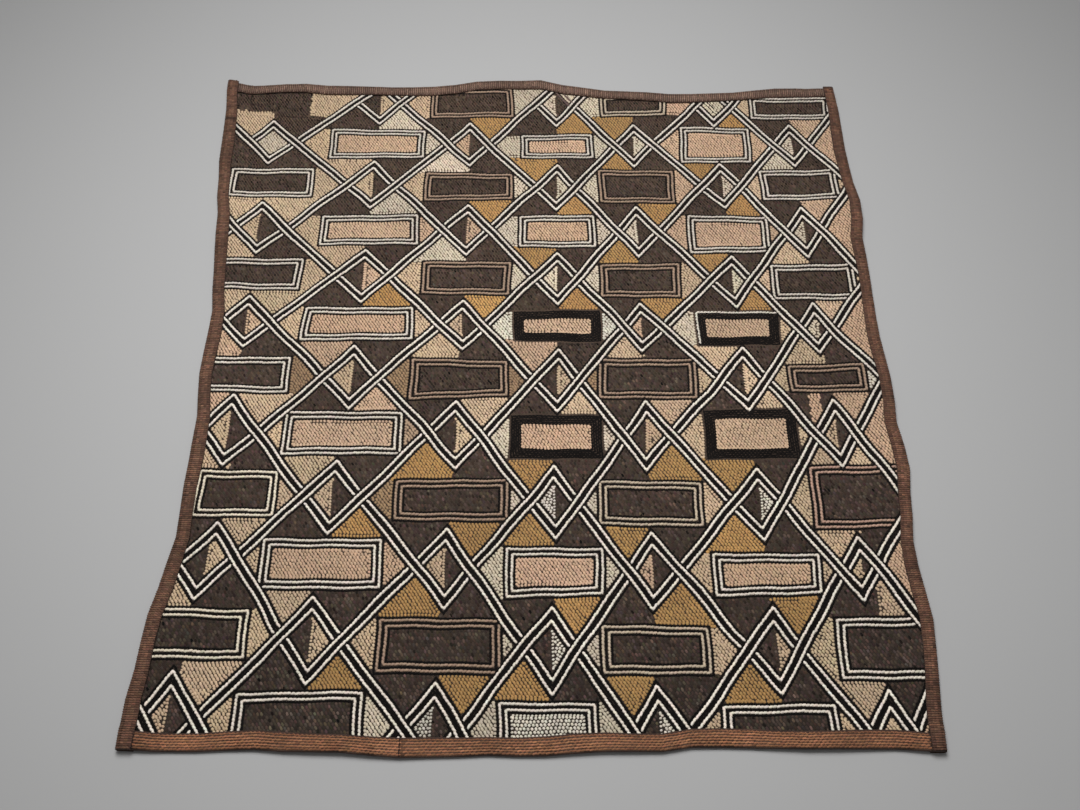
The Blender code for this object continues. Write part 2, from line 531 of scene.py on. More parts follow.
    def passes_under(self, row: int, points: np.ndarray) -> np.ndarray:
        """Which points of a band lie where it passes under a neighbour.

        A rising leg passes over at the knots of even rows and a falling leg at those of odd rows.

        Args:
            row: The band's row.
            points: Places on it.

        Returns:
            An array of truth values.
        """
        rising = self.band_slope(row, points[:, 0]) > 0
        hidden = np.zeros(len(points), dtype=bool)
        for other, knot_row in ((row - 1, row), (row + 1, row + 1)):
            if other not in self.band_points:
                continue
            other_rising = self.band_slope(other, points[:, 0]) > 0
            rising_is_over = knot_row % 2 == 0
            under = (rising != other_rising) & (rising != rising_is_over)
            hidden |= under & (self.band_distance(other, points) < UNDER_STOP * self.widening(other))
        return hidden | self.left_out(row, points)

    def cell_name(self, column: int, row: int) -> str:
        """Chart name of a cell."""
        names = list(COLUMNS)
        return f"{names[min(max(column, 0), len(names) - 1)]}{min(max(row, 0), len(ROWS) - 1)}"


@dataclass
class FramedBlock:
    """One block's outline on the cloth, a little out of square."""

    name: str
    chart: Block
    corners: np.ndarray

    @classmethod
    def set_out(cls, name: str, lattice: Lattice, rng: np.random.Generator) -> "FramedBlock":
        """Place a block on its lattice cell.

        Args:
            name: Its chart name.
            lattice: The lattice.
            rng: Source of its unevenness.

        Returns:
            The block, with its corners in order round it.
        """
        chart = BLOCKS[name]
        x, y = lattice.centre(list(COLUMNS).index(name[0]), int(name[1:]))
        half = np.array((chart.width, chart.height)) * MM / 2
        signs = np.array(((-1, -1), (1, -1), (1, 1), (-1, 1)))
        corners = np.array((x + chart.shift * MM, y + chart.lift * MM)) + signs * half
        corners[1, 1] -= chart.sag * MM
        return cls(name, chart, corners + rng.normal(0.0, CORNER_WANDER, (4, 2)))

    @property
    def middle(self) -> float:
        """Place across the cloth where the fills above and below the block meet."""
        return float(self.corners[:, 0].mean()) - self.chart.shift * MM / 2

    @property
    def row(self) -> int:
        """The block's row."""
        return int(self.name[1:])

    def depth(self, points: np.ndarray) -> np.ndarray:
        """How far points lie inside the outline.

        Args:
            points: Places on the cloth.

        Returns:
            The depths, negative outside it.
        """
        depths = []
        for start, end in zip(self.corners, np.roll(self.corners, -1, axis=0)):
            along = (end - start) / np.linalg.norm(end - start)
            inward = np.array((-along[1], along[0]))
            depths.append((points - start) @ inward)
        return np.min(depths, axis=0)

    def spaces(self, points: np.ndarray) -> tuple[np.ndarray, ...]:
        """Share out the places round the block.

        Args:
            points: Places on the cloth.

        Returns:
            Which lie above it, below it and level with it, each to the left and to the right.
        """
        low_left, low_right, high_right, high_left = self.corners
        left = points[:, 0] < self.middle
        share = (points[:, 0] - low_left[0]) / (low_right[0] - low_left[0])
        above = points[:, 1] > high_left[1] + share * (high_right[1] - high_left[1])
        below = points[:, 1] < low_left[1] + share * (low_right[1] - low_left[1])
        return tuple(part & side for part in (above, below, ~above & ~below) for side in (left, ~left))


def offset_path(points: np.ndarray, distance: float, closed: bool) -> np.ndarray:
    """Path moved to its left by a distance, with mitred turns.

    Args:
        points: The path's points.
        distance: How far to move it.
        closed: Whether the path returns to its start.

    Returns:
        The moved points.
    """
    before = np.roll(points, 1, axis=0)
    after = np.roll(points, -1, axis=0)
    if not closed:
        before[0] = 2 * points[0] - points[1]
        after[-1] = 2 * points[-1] - points[-2]
    into = (points - before) / np.linalg.norm(points - before, axis=1, keepdims=True)
    out = (after - points) / np.linalg.norm(after - points, axis=1, keepdims=True)
    left_in = np.stack((-into[:, 1], into[:, 0]), axis=1)
    left_out = np.stack((-out[:, 1], out[:, 0]), axis=1)
    bisector = left_in + left_out
    bisector /= np.linalg.norm(bisector, axis=1, keepdims=True)
    mitre = distance / np.sum(bisector * left_in, axis=1, keepdims=True)
    return points + bisector * mitre


@dataclass
class Stitches:
    """A growing set of stitches that share one kind of thread."""

    centres: list[np.ndarray] = field(default_factory=list)
    angles: list[np.ndarray] = field(default_factory=list)
    lengths: list[np.ndarray] = field(default_factory=list)
    colours: list[np.ndarray] = field(default_factory=list)

    def add(
        self,
        centres: np.ndarray,
        angles: np.ndarray,
        lengths: np.ndarray,
        colours: np.ndarray,
    ) -> None:
        """Add stitches.

        Args:
            centres: Their middles.
            angles: Their directions.
            lengths: Their lengths.
            colours: Their linear colours.
        """
        self.centres.append(centres)
        self.angles.append(angles)
        self.lengths.append(lengths)
        self.colours.append(colours)

    def keep(self, test: np.ndarray) -> None:
        """Keep only some stitches.

        Args:
            test: Marks the stitches to keep.
        """
        columns = (self.centres, self.angles, self.lengths, self.colours)
        kept = ([np.concatenate(parts)[test]] for parts in columns)
        self.centres, self.angles, self.lengths, self.colours = kept

    def all_centres(self) -> np.ndarray:
        """Middles of all the stitches."""
        return np.concatenate(self.centres)


def visible_runs(
    points: np.ndarray,
    closed: bool,
    hide: Hiding,
) -> Iterator[tuple[np.ndarray, np.ndarray]]:
    """Straight parts of a path that show.

    Args:
        points: The path's turning points.
        closed: Whether the path returns to its start.
        hide: Marks the places that something else covers.

    Yields:
        The two ends of each straight part.
    """
    ends = np.roll(points, -1, axis=0) if closed else points[1:]
    for start, end in zip(points, ends):
        count = max(2, round(float(np.linalg.norm(end - start)) / RUN_STEP))
        shares = np.linspace(0.0, 1.0, count)
        shown = ~hide(start + shares[:, None] * (end - start))
        edges = np.flatnonzero(np.diff(np.concatenate(([False], shown, [False])).astype(int)))
        for first, last in zip(edges[::2], edges[1::2] - 1):
            yield start + shares[first] * (end - start), start + shares[last] * (end - start)


def walk(
    points: np.ndarray,
    pitch: float,
    closed: bool,
    hide: Hiding,
) -> Iterator[tuple[np.ndarray, float, float]]:
    """Stitch middles along the parts of a path that show.

    Args:
        points: The path's turning points.
        pitch: Wanted spacing.
        closed: Whether the path returns to its start.
        hide: Marks the places that something else covers.

    Yields:
        The middles along one straight part, its direction and the spacing on it.
    """
    for start, end in visible_runs(points, closed, hide):
        length = float(np.linalg.norm(end - start))
        if length < pitch / 3:
            continue
        count = max(1, round(length / pitch))
        shares = (np.arange(count) + 0.5) / count
        direction = math.atan2(end[1] - start[1], end[0] - start[0])
        yield start + shares[:, None] * (end - start), direction, length / count


def search_tree(names: tuple[str, ...]) -> BVHTree:
    """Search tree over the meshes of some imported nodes.

    Args:
        names: The nodes.

    Returns:
        The tree.
    """
    points: list[Vector] = []
    faces: list[tuple[int, ...]] = []
    for name in names:
        mesh = frame["nodes"][name].data
        start = len(points)
        points += [vert.co.copy() for vert in mesh.vertices]
        faces += [tuple(start + index for index in face.vertices) for face in mesh.polygons]
    return BVHTree.FromPolygons(points, faces)


@dataclass
class Surface:
    """A surface seen from above, and how far under it its dressed form lies."""

    tree: BVHTree
    sink: float = 0.0
    high: float = 0.1
    low: float = 0.002

    def look_down(self, x: float, y: float) -> tuple[Vector | None, Vector | None]:
        """Point and normal met straight below a place in plan, if any."""
        hit, normal, _, _ = self.tree.ray_cast(Vector((x, y, self.high)), Vector((0, 0, -1)))
        return hit, normal

    def covers(self, places: np.ndarray) -> np.ndarray:
        """Which places in plan lie over the surface."""
        return np.array([self.look_down(x, y)[0] is not None for x, y in places])

    def heights(self, places: np.ndarray) -> tuple[np.ndarray, np.ndarray]:
        """Height and slope under places in plan.

        Args:
            places: The places.

        Returns:
            The heights, and the rise of the surface along x and y.
        """
        heights = np.zeros(len(places))
        rises = np.zeros((len(places), 2))
        for index, (x, y) in enumerate(places):
            hit, normal = self.look_down(x, y)
            if hit is None:
                hit, normal, _, _ = self.tree.find_nearest(Vector((x, y, self.low)))
            heights[index] = hit.z - self.sink
            if normal.z > FACES_UP:
                rises[index] = (-normal.x / normal.z, -normal.y / normal.z)
        return heights, rises


def stitch_form(sides: int, rings: int) -> tuple[np.ndarray, np.ndarray]:
    """Upper half of one long grain of thread, a metre long and wide.

    Args:
        sides: Sides of the whole grain, an even number.
        rings: Steps along it.

    Returns:
        Its points and its triangles.
    """
    bm = bmesh.new()
    bmesh.ops.create_uvsphere(bm, u_segments=sides, v_segments=rings, radius=0.5)
    bmesh.ops.rotate(bm, verts=bm.verts, cent=(0, 0, 0), matrix=Matrix.Rotation(math.pi / 2, 3, "Y"))
    bmesh.ops.rotate(bm, verts=bm.verts, cent=(0, 0, 0), matrix=Matrix.Rotation(math.pi / 2, 3, "X"))
    bmesh.ops.bisect_plane(
        bm, geom=bm.verts[:] + bm.edges[:] + bm.faces[:], dist=1e-4,
        plane_co=(0, 0, 0), plane_no=(0, 0, 1), clear_inner=True,
    )
    bmesh.ops.triangulate(bm, faces=bm.faces)
    bm.verts.index_update()
    points = np.array([vert.co[:] for vert in bm.verts])
    faces = np.array([[vert.index for vert in face.verts] for face in bm.faces])
    bm.free()
    return points, faces


@dataclass(frozen=True)
class StitchSize:
    """Width, height above the ground and roundness of one kind of stitch."""

    width: float
    height: float
    sides: int
    rings: int
    sink: float = 0.1 * MM


def plan_map(mesh: bpy.types.Mesh) -> None:
    """Give a mesh a map named for baking, laid out in plan over the cloth.

    Args:
        mesh: The mesh.
    """
    low, high = (np.array(corner[:2]) for corner in CAD_BOX)
    count = len(mesh.loops)
    corner_points = np.zeros(count, dtype=np.int32)
    mesh.loops.foreach_get("vertex_index", corner_points)
    places = np.zeros(len(mesh.vertices) * 3)
    mesh.vertices.foreach_get("co", places)
    plan = places.reshape(-1, 3)[corner_points, :2]
    margin = 0.01
    shares = margin + (1 - 2 * margin) * (plan - low) / (high - low)
    layer = mesh.uv_layers.new(name="OFBake")
    layer.uv.foreach_set("vector", shares.astype(np.float32).ravel())


def new_object(
    name: str,
    mesh: bpy.types.Mesh,
    material: bpy.types.Material,
) -> bpy.types.Object:
    """Object for a finished mesh, riding on the cloth's body.

    Args:
        name: The piece's name.
        mesh: Its mesh, in place.
        material: Its finish.

    Returns:
        The object.
    """
    piece = bpy.data.objects.new(name, mesh)
    bpy.context.scene.collection.objects.link(piece)
    if not mesh.materials:
        mesh.materials.append(material)
    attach(piece, BODY)
    LOG.info("%s: %d faces", name, len(mesh.polygons))
    return piece


def stitch_mesh(name: str, stitches: Stitches, size: StitchSize, surface: Surface) -> bpy.types.Mesh:
    """Joined mesh of many stitches lying on the panel.

    Args:
        name: The mesh's name.
        stitches: Where they lie, how long they are and their colours.
        size: Their section.
        surface: The ground that they lie on.

    Returns:
        The mesh, with a colour attribute named thread_colour.
    """
    form, faces = stitch_form(size.sides, size.rings)
    centres = stitches.all_centres()
    angles = np.concatenate(stitches.angles)
    lengths = np.concatenate(stitches.lengths)
    colours = np.concatenate(stitches.colours)
    heights, rises = surface.heights(centres)
    local_x = form[None, :, 0] * lengths[:, None]
    local_y = np.broadcast_to(form[None, :, 1] * size.width, local_x.shape)
    cos, sin = np.cos(angles)[:, None], np.sin(angles)[:, None]
    across = local_x * cos - local_y * sin
    up = local_x * sin + local_y * cos
    lift = form[None, :, 2] * 2 * (size.height + size.sink) - size.sink
    points = np.stack((
        centres[:, :1] + across,
        centres[:, 1:] + up,
        heights[:, None] + rises[:, :1] * across + rises[:, 1:] * up + lift,
    ), axis=2).reshape(-1, 3)
    corners = (faces[None] + (np.arange(len(centres)) * len(form))[:, None, None]).reshape(-1, 3)
    mesh = bpy.data.meshes.new(name)
    mesh.vertices.add(len(points))
    mesh.vertices.foreach_set("co", points.astype(np.float32).ravel())
    mesh.loops.add(corners.size)
    mesh.loops.foreach_set("vertex_index", corners.astype(np.int32).ravel())
    mesh.polygons.add(len(corners))
    mesh.polygons.foreach_set("loop_start", np.arange(0, corners.size, 3, dtype=np.int32))
    mesh.update(calc_edges=True)
    mesh.shade_smooth()
    shade = mesh.color_attributes.new("thread_colour", "FLOAT_COLOR", "POINT")
    rgba = np.ones((len(points), 4), dtype=np.float32)
    rgba[:, :3] = np.repeat(colours, len(form), axis=0)
    shade.data.foreach_set("color", rgba.ravel())
    plan_map(mesh)
    return mesh


class Nodes:
    """Shorthand for building one material's node tree."""

    def __init__(self, name: str) -> None:
        """Start a material with its Principled shader.

        Args:
            name: The material's name.
        """
        self.material = bpy.data.materials.new(name)
        self.material.use_nodes = True
        self.tree = self.material.node_tree
        self.shader = self.tree.nodes["Principled BSDF"]

    def add(
        self,
        kind: str,
        inputs: dict[str | int, object] | None = None,
        **settings: object,
    ) -> bpy.types.Node:
        """Add a node.

        Args:
            kind: Its type, without the leading ShaderNode.
            inputs: Values, or sockets to link, for its inputs.
            settings: Its properties.

        Returns:
            The node.
        """
        node = self.tree.nodes.new("ShaderNode" + kind)
        for key, value in settings.items():
            setattr(node, key, value)
        for key, value in (inputs or {}).items():
            self.feed(node.inputs[key], value)
        return node

    def feed(self, socket: bpy.types.NodeSocket, value: object) -> None:
        """Fill an input.

        Args:
            socket: The input.
            value: A socket to link to it, or the value to set.
        """
        if isinstance(value, bpy.types.NodeSocket):
            self.tree.links.new(value, socket)
        else:
            socket.default_value = value

    def mix(
        self,
        share: object,
        first: object,
        second: object,
        blend: str = "MIX",
    ) -> bpy.types.NodeSocket:
        """Mix of two colours.

        Args:
            share: How much of the second colour it holds.
            first: The first colour or socket.
            second: The second.
            blend: How they are mixed.

        Returns:
            The mixed colour.
        """
        node = self.add("Mix", data_type="RGBA", blend_type=blend)
        self.feed(node.inputs[0], share)
        self.feed(node.inputs[6], first)
        self.feed(node.inputs[7], second)
        return node.outputs[2]

    def math(self, operation: str, first: object, second: object = 0.0) -> bpy.types.NodeSocket:
        """Result of a math node."""
        return self.add("Math", {0: first, 1: second}, operation=operation).outputs[0]

    def waves(self, place: bpy.types.NodeSocket, length: float) -> bpy.types.NodeSocket:
        """Sine waves of a length along a coordinate."""
        return self.math("SINE", self.math("MULTIPLY", place, 2 * math.pi / length))

    def spread(
        self,
        value: object,
        source: tuple[float, float],
        result: tuple[float, float],
    ) -> bpy.types.NodeSocket:
        """Value mapped from one range to another."""
        ends = {"From Min": source[0], "From Max": source[1], "To Min": result[0], "To Max": result[1]}
        return self.add("MapRange", {"Value": value, **ends}).outputs["Result"]

    def place(self) -> bpy.types.NodeSocket:
        """Place on the object."""
        return self.add("TexCoord").outputs["Object"]

    def noise(
        self,
        scale: float,
        detail: float = 2.0,
        stretch: tuple[float, float, float] = (1, 1, 1),
    ) -> bpy.types.NodeSocket:
        """Noise on object coordinates, stretched along the axes."""
        mapped = self.add("Mapping", {"Vector": self.place(), "Scale": stretch}).outputs["Vector"]
        return self.add("TexNoise", {"Vector": mapped, "Scale": scale, "Detail": detail}).outputs["Fac"]

    def colour(self, shade: bpy.types.NodeSocket, light: bpy.types.NodeSocket) -> None:
        """Set the surface's colour.

        Args:
            shade: The colour.
            light: What it is multiplied by.
        """
        grey = self.add("CombineColor", {"Red": light, "Green": light, "Blue": light}).outputs["Color"]
        self.feed(self.shader.inputs["Base Color"], self.mix(1.0, shade, grey, "MULTIPLY"))

    def roughness(self, pattern: bpy.types.NodeSocket, middle: float) -> None:
        """Make the surface unevenly rough, by a pattern, about a value."""
        uneven = self.spread(pattern, NOISE_RANGE, (middle - 0.06, middle + 0.08))
        self.feed(self.shader.inputs["Roughness"], uneven)

    def bump(self, height: bpy.types.NodeSocket, distance: float, strength: float = 1.0) -> None:
        """Raise the surface by a height socket."""
        node = self.add("Bump", {"Height": height, "Distance": distance, "Strength": strength})
        self.feed(self.shader.inputs["Normal"], node.outputs["Normal"])


@dataclass(frozen=True)
class ThreadFinish:
    """Raffia thread that takes its shade from each stitch."""

    name: str
    middle_roughness: float = 0.62
    sheen: float = 0.12
    fibre: float = 0.12
    specular: float = 0.4

    def make(self) -> bpy.types.Material:
        """Build the material: each stitch's own shade, with fibres and slow lighter and darker patches,
        partly faded dye and partly painted shade of soft folds.

        Returns:
            The material.
        """
        nodes = Nodes(self.name)
        shade = nodes.add("Attribute", attribute_name="thread_colour").outputs["Color"]
        # Slow lighter and darker patches: partly faded dye, partly painted shade of soft folds.
        tone_shift = nodes.spread(nodes.noise(9.0, 3.0), NOISE_RANGE, (0.90, 1.08))
        streaks = nodes.spread(nodes.noise(900.0), NOISE_RANGE, (1 - self.fibre, 1 + self.fibre))
        nodes.colour(shade, nodes.math("MULTIPLY", tone_shift, streaks))
        nodes.roughness(nodes.noise(60.0), self.middle_roughness)
        nodes.shader.inputs["Sheen Weight"].default_value = self.sheen
        nodes.shader.inputs["Specular IOR Level"].default_value = self.specular
        nodes.bump(nodes.noise(1400.0), 0.08 * MM, 0.6)
        return nodes.material


@dataclass(frozen=True)
class WeaveFinish:
    """Plain woven raffia cloth in two colours of strand.

    Attributes are its name, its colours, the spacing of its strands, how rough it is, and how light
    it is at the bottom and at the top of the cloth.
    """

    name: str
    first: tuple[int, int, int]
    second: tuple[int, int, int]
    pitch: float = 1.5 * MM
    middle_roughness: float = 0.8
    tone_shift: tuple[float, float] = (1.0, 1.0)

    def make(self) -> bpy.types.Material:
        """Build the material: crossing threads that pass over and under, with uneven strand colour.

        Returns:
            The material.
        """
        nodes = Nodes(self.name)
        place = nodes.add("SeparateXYZ", {"Vector": nodes.place()})
        along = nodes.waves(place.outputs["X"], self.pitch)
        across = nodes.waves(place.outputs["Y"], self.pitch)
        weave = nodes.math("MULTIPLY", along, across)
        strands = nodes.noise(160.0, 2.0, (1.0, 0.08, 1.0))
        picks = nodes.noise(160.0, 2.0, (0.08, 1.0, 1.0))
        share = nodes.spread(nodes.math("ADD", strands, picks), (0.7, 1.3), (0.0, 1.0))
        shade = nodes.mix(share, (*linear(self.first), 1), (*linear(self.second), 1))
        # The weave's low places are painted darker: painted shade in the hollows of the weave.
        painted_hollow_shade = nodes.spread(weave, (-1.0, 1.0), (0.72, 1.1))
        faded = nodes.spread(place.outputs["Y"], CLOTH_SPAN, self.tone_shift)
        nodes.colour(shade, nodes.math("MULTIPLY", painted_hollow_shade, faded))
        nodes.roughness(strands, self.middle_roughness)
        nodes.bump(weave, 0.35 * MM, 0.7)
        return nodes.material


@dataclass(frozen=True)
class BindingFinish:
    """Ribbed strip cloth, dark reddish brown, with ribs along or across the strip.

    Attributes are its name, the axis that the strip runs along, whether its ribs lie across it, its
    colours, the ribs' spacing, and the fine threads' as a share of that.
    """

    name: str
    lengthwise_axis: str
    ribs_across: bool
    first: tuple[int, int, int] = (88, 62, 47)
    second: tuple[int, int, int] = (64, 44, 34)
    rib: float = 1.9 * MM
    thread_share: float = 0.6

    def make(self) -> bpy.types.Material:
        """Build the material: ribs, a finer cross thread and patches of wear.

        Returns:
            The material.
        """
        nodes = Nodes(self.name)
        place = nodes.add("SeparateXYZ", {"Vector": nodes.place()})
        crosswise_axis = "Y" if self.lengthwise_axis == "X" else "X"
        rib_axis = self.lengthwise_axis if self.ribs_across else crosswise_axis
        thread_axis = crosswise_axis if self.ribs_across else self.lengthwise_axis
        wobble = nodes.math("MULTIPLY", nodes.noise(14.0), 2.2 * MM)
        ribs = nodes.waves(nodes.math("ADD", place.outputs[rib_axis], wobble), self.rib)
        threads = nodes.waves(place.outputs[thread_axis], self.thread_share * self.rib)
        relief = nodes.math("ADD", ribs, nodes.math("MULTIPLY", threads, 0.35))
        wear = nodes.spread(nodes.noise(26.0, 4.0), (0.35, 0.65), (0.0, 1.0))
        shade = nodes.mix(wear, (*linear(self.first), 1), (*linear(self.second), 1))
        # Colour follows the relief: painted shade between the ribs and painted highlight on their crests.
        nodes.colour(shade, nodes.spread(relief, (-1.35, 1.35), (0.62, 1.18)))
        nodes.shader.inputs["Roughness"].default_value = 0.78
        nodes.bump(relief, 0.3 * MM, 0.8)
        return nodes.material


def copy_of_node(name: str, new_name: str) -> bpy.types.Mesh:
    """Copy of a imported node's mesh with its loose triangles merged.

    Args:
        name: The node.
        new_name: Name of the copy.

    Returns:
        The merged mesh.
    """
    bm = bmesh.new()
    bm.from_mesh(frame["nodes"][name].data)
    bmesh.ops.remove_doubles(bm, verts=bm.verts, dist=1e-6)
    bmesh.ops.dissolve_degenerate(bm, edges=bm.edges, dist=1e-7)
    mesh = bpy.data.meshes.new(new_name)
    bm.to_mesh(mesh)
    bm.free()
    mesh.materials.clear()
    return mesh


@dataclass
class GroundCloth:
    """The woven cloth under the stitches: dark on top, partly dark thread and partly painted shade between
    the stitches; plain raffia beneath.
    """

    name: str = "ground_cloth"
    cuts: int = 1
    # The stitched top is painted dark brown, partly the dark thread and partly painted shade in the gaps
    # between stitches, and darker towards the bottom, where that painted shade is deeper.
    stitched_weave_painted_shade: WeaveFinish = WeaveFinish(
        "embroidery_ground", (84, 66, 52), (62, 48, 38), 1.4 * MM, tone_shift=(0.4, 1.7),
    )
    plain_weave: WeaveFinish = WeaveFinish("plain_raffia_weave", (186, 158, 118), (150, 120, 84))

    def build(self) -> bpy.types.Object:
        """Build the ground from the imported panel, with its top lowered to carry the stitches.

        Returns:
            The ground.
        """
        mesh = copy_of_node(PANEL, self.name)
        bm = bmesh.new()
        bm.from_mesh(mesh)
        top = {vert for face in bm.faces if face.normal.z > FACES_UP for vert in face.verts}
        for vert in top:
            vert.co.z -= GROUND_SINK
        bmesh.ops.subdivide_edges(bm, edges=bm.edges, cuts=self.cuts, use_grid_fill=True)
        for face in bm.faces:
            face.material_index = 0 if face.normal.z > FACES_UP else 1
        bm.to_mesh(mesh)
        bm.free()
        mesh.shade_smooth()
        mesh.materials.append(self.stitched_weave_painted_shade.make())
        mesh.materials.append(self.plain_weave.make())
        self.map_both_faces(mesh)
        piece = new_object(self.name, mesh, mesh.materials[0])
        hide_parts(PANEL)
        return piece

    @staticmethod
    def map_both_faces(mesh: bpy.types.Mesh) -> None:
        """Lay the top and the underside side by side on the map named for baking.

        Args:
            mesh: The ground's mesh.
        """
        low, high = (np.array(corner[:2]) for corner in CAD_BOX)
        layer = mesh.uv_layers.new(name="OFBake")
        for face in mesh.polygons:
            side = 0.0 if face.material_index == 0 else 0.5
            for loop in face.loop_indices:
                place = np.array(mesh.vertices[mesh.loops[loop].vertex_index].co[:2])
                share = MAP_MARGIN + (1 - 2 * MAP_MARGIN) * (place - low) / (high - low)
                layer.uv[loop].vector = (side + share[0] / 2, share[1])


@dataclass
class Embroidery:
    """All the raised stitching: zigzag bands, block frames and fills.

    Attributes are the lattice, the surfaces of the panel and the strips, the source of unevenness,
    the spacing and lean of stitches in lines and fills, how unevenly they lie and are dyed, how the
    fills change from the bottom to the top (the light fills lighter towards the top, as painted light),
    how they end at their edges, and how far round a knot its fills and bars are sought.
    """

    lattice: Lattice
    panel: Surface
    strips: Surface
    rng: np.random.Generator
    sway_reach: float = 0.65 * MM
    line_pitch: float = 3.0 * MM
    line_slant: float = 0.20
    line_unevenness: float = 0.05
    line_jitter: float = 0.10 * MM
    fill_step: float = 2.75 * MM
    fill_row: float = 2.6 * MM
    fill_slant: float = math.radians(117)
    fill_length: float = 3.9 * MM
    edging_length: float = 2.7 * MM
    speck_share: float = 0.72
    slant_unevenness: float = 0.09
    length_unevenness: float = 0.06
    fill_jitter: float = 0.14 * MM
    light_dye: float = 0.07
    dark_dye: float = 0.34
    # Light fills are painted lighter towards the top, as painted light from above; dark fills grow darker
    # towards the top.
    light_fill_painted_light: tuple[float, float] = (0.85, 0.91)
    dark_fading: tuple[float, float] = (0.96, 0.78)
    space_tone: float = 0.07
    worn_share: float = 0.22
    worn_light: float = 1.6
    edging: float = 1.15 * MM
    edging_margin: float = 0.55 * MM
    fill_margin: float = 1.6 * MM
    longest_meeting: float = 70 * MM
    knot_reach: float = 40 * MM
    bar_reach: float = 30 * MM
    light_fill_size: StitchSize = StitchSize(2.6 * MM, 0.68 * MM, 6, 3)
    dark_fill_size: StitchSize = StitchSize(2.3 * MM, 0.68 * MM, 4, 3)
    light_line_size: StitchSize = StitchSize(LIGHT_WIDTH, 1.2 * MM, 6, 4)
    dark_line_size: StitchSize = StitchSize(DARK_WIDTH, 0.95 * MM, 4, 3)
    blocks: dict[str, FramedBlock] = field(default_factory=dict)

    def __post_init__(self) -> None:
        """Set out every block once."""
        for name in BLOCKS:
            self.blocks[name] = FramedBlock.set_out(name, self.lattice, self.rng)

    def sway(self, points: np.ndarray) -> np.ndarray:
        """Move stitches by the small slow pull that the cloth gives to all its lines.

        Args:
            points: Their middles.

        Returns:
            The moved middles.
        """
        x, y = points[:, 0] / MM, points[:, 1] / MM
        across = 0.45 * np.sin(x / 9.1 + 1.3 * np.sin(y / 23.0)) + 0.5 * np.sin(y / 7.3 + x / 31.0)
        up = 0.45 * np.sin(y / 8.3 + 1.1 * np.sin(x / 19.0)) + 0.5 * np.sin(x / 6.7 - y / 27.0)
        return points + np.stack((across, up), axis=1) * self.sway_reach

    def tint(self, colour: tuple[int, int, int], count: int, spread: float) -> np.ndarray:
        """Linear colours for a number of stitches.

        Args:
            colour: The dyed thread, as display values.
            count: How many stitches.
            spread: How unevenly it is dyed.

        Returns:
            A colour for each.
        """
        light = self.rng.normal(1.0, spread, (count, 1))
        hue = self.rng.normal(1.0, spread / 4, (count, 3))
        return np.clip(np.array(linear(colour)) * light * hue, DARKEST, 1.0)

    def line(self, batch: Stitches, points: np.ndarray, closed: bool, thread: Thread, hide: Hiding) -> None:
        """Stem stitches along a path.

        Args:
            batch: The stitches to add to.
            points: The path's turning points.
            closed: Whether it returns to its start.
            thread: The thread.
            hide: Marks the places that something else covers.
        """
        for centres, direction, spacing in walk(points, self.line_pitch, closed, hide):
            count = len(centres)
            angles = direction + self.line_slant + self.rng.normal(0.0, self.line_unevenness, count)
            lengths = spacing * thread.overlap * self.rng.normal(1.0, self.line_unevenness, count)
            jitter = self.rng.normal(0.0, self.line_jitter, centres.shape)
            tone_shift = np.interp(centres[:, 1], CLOTH_SPAN, thread.wear)[:, None]
            colours = np.clip(self.tint(thread.colour, count, self.light_dye) * tone_shift, 0.0, 1.0)
            batch.add(self.sway(centres + jitter), angles, lengths, colours)

    def bands(self, light: Stitches, dark: Stitches) -> None:
        """Stitch every zigzag band, broken where it passes under another.

        Args:
            light: Takes its two light lines.
            dark: Takes its black lines.
        """
        for row, points in self.lattice.band_points.items():
            covered = partial(self.lattice.passes_under, row)
            for lines, batch, thread in (
                (BAND_LIGHT_LINES, light, LINE_CREAM),
                (CORE_LINES, dark, LINE_BLACK),
                (BAND_EDGE_LINES, dark, LINE_BLACK),
            ):
                for distance in lines:
                    path = offset_path(points, distance * self.lattice.widening(row), closed=False)
                    self.line(batch, path, False, thread, covered)

    def odd_knots(self, brown: Stitches, dark: Stitches) -> None:
        """Stitch the dim leg in the top row's middle knot and the bars in its right-hand knot.

        Args:
            brown: Takes the dim leg.
            dark: Takes the bars.
        """
        top = self.lattice.band_points[0]
        for distance in BAND_LIGHT_LINES:
            path = offset_path(top, distance * self.lattice.widening(0), closed=False)
            self.line(brown, path, False, DIM_BROWN, lambda places: ~self.lattice.left_out(0, places))
        above = self.lattice.band_points[-1]
        for distance in KNOT_BARS:
            path = offset_path(above, distance, closed=False)
            self.line(dark, path, False, LINE_BLACK, self.outside_barred_knot)

    def outside_barred_knot(self, places: np.ndarray) -> np.ndarray:
        """Which places lie outside the knot that has bars across it.

        Args:
            places: Places on the cloth.

        Returns:
            An array of truth values.
        """
        away = np.abs(places[:, 0] - self.lattice.centre(5, 0)[0]) > self.bar_reach
        out = places[:, 1] > self.lattice.band_height(0, places[:, 0])
        rising = self.lattice.band_slope(-1, places[:, 0]) > 0
        return away | out | rising | (self.lattice.nearest_band(places) < BAND_HALF)

    def frames(self, light: Stitches, brown: Stitches, dark: Stitches) -> None:
        """Stitch the frame of every block.

        Args:
            light: Takes the cream lines.
            brown: Takes the brown, grey and rose lines.
            dark: Takes the black lines.
        """
        for framed in self.blocks.values():
            kind = framed.chart.frame
            if kind is Frame.NONE:
                continue
            solid = kind in (Frame.SOLID, Frame.SOLID_EDGED)
            for distance in SOLID_FRAME_LINES if solid else FRAME_DARK_LINES:
                self.frame_line(dark, framed, distance, LINE_BLACK, True)
            if kind is Frame.SOLID:
                continue
            batch = brown if kind in (Frame.BROWN, Frame.GREY, Frame.ROSE) else light
            lines = FRAME_LIGHT_LINES[:1] if solid else FRAME_LIGHT_LINES
            for distance in lines:
                self.frame_line(batch, framed, distance, FRAME_THREADS[kind], not solid)

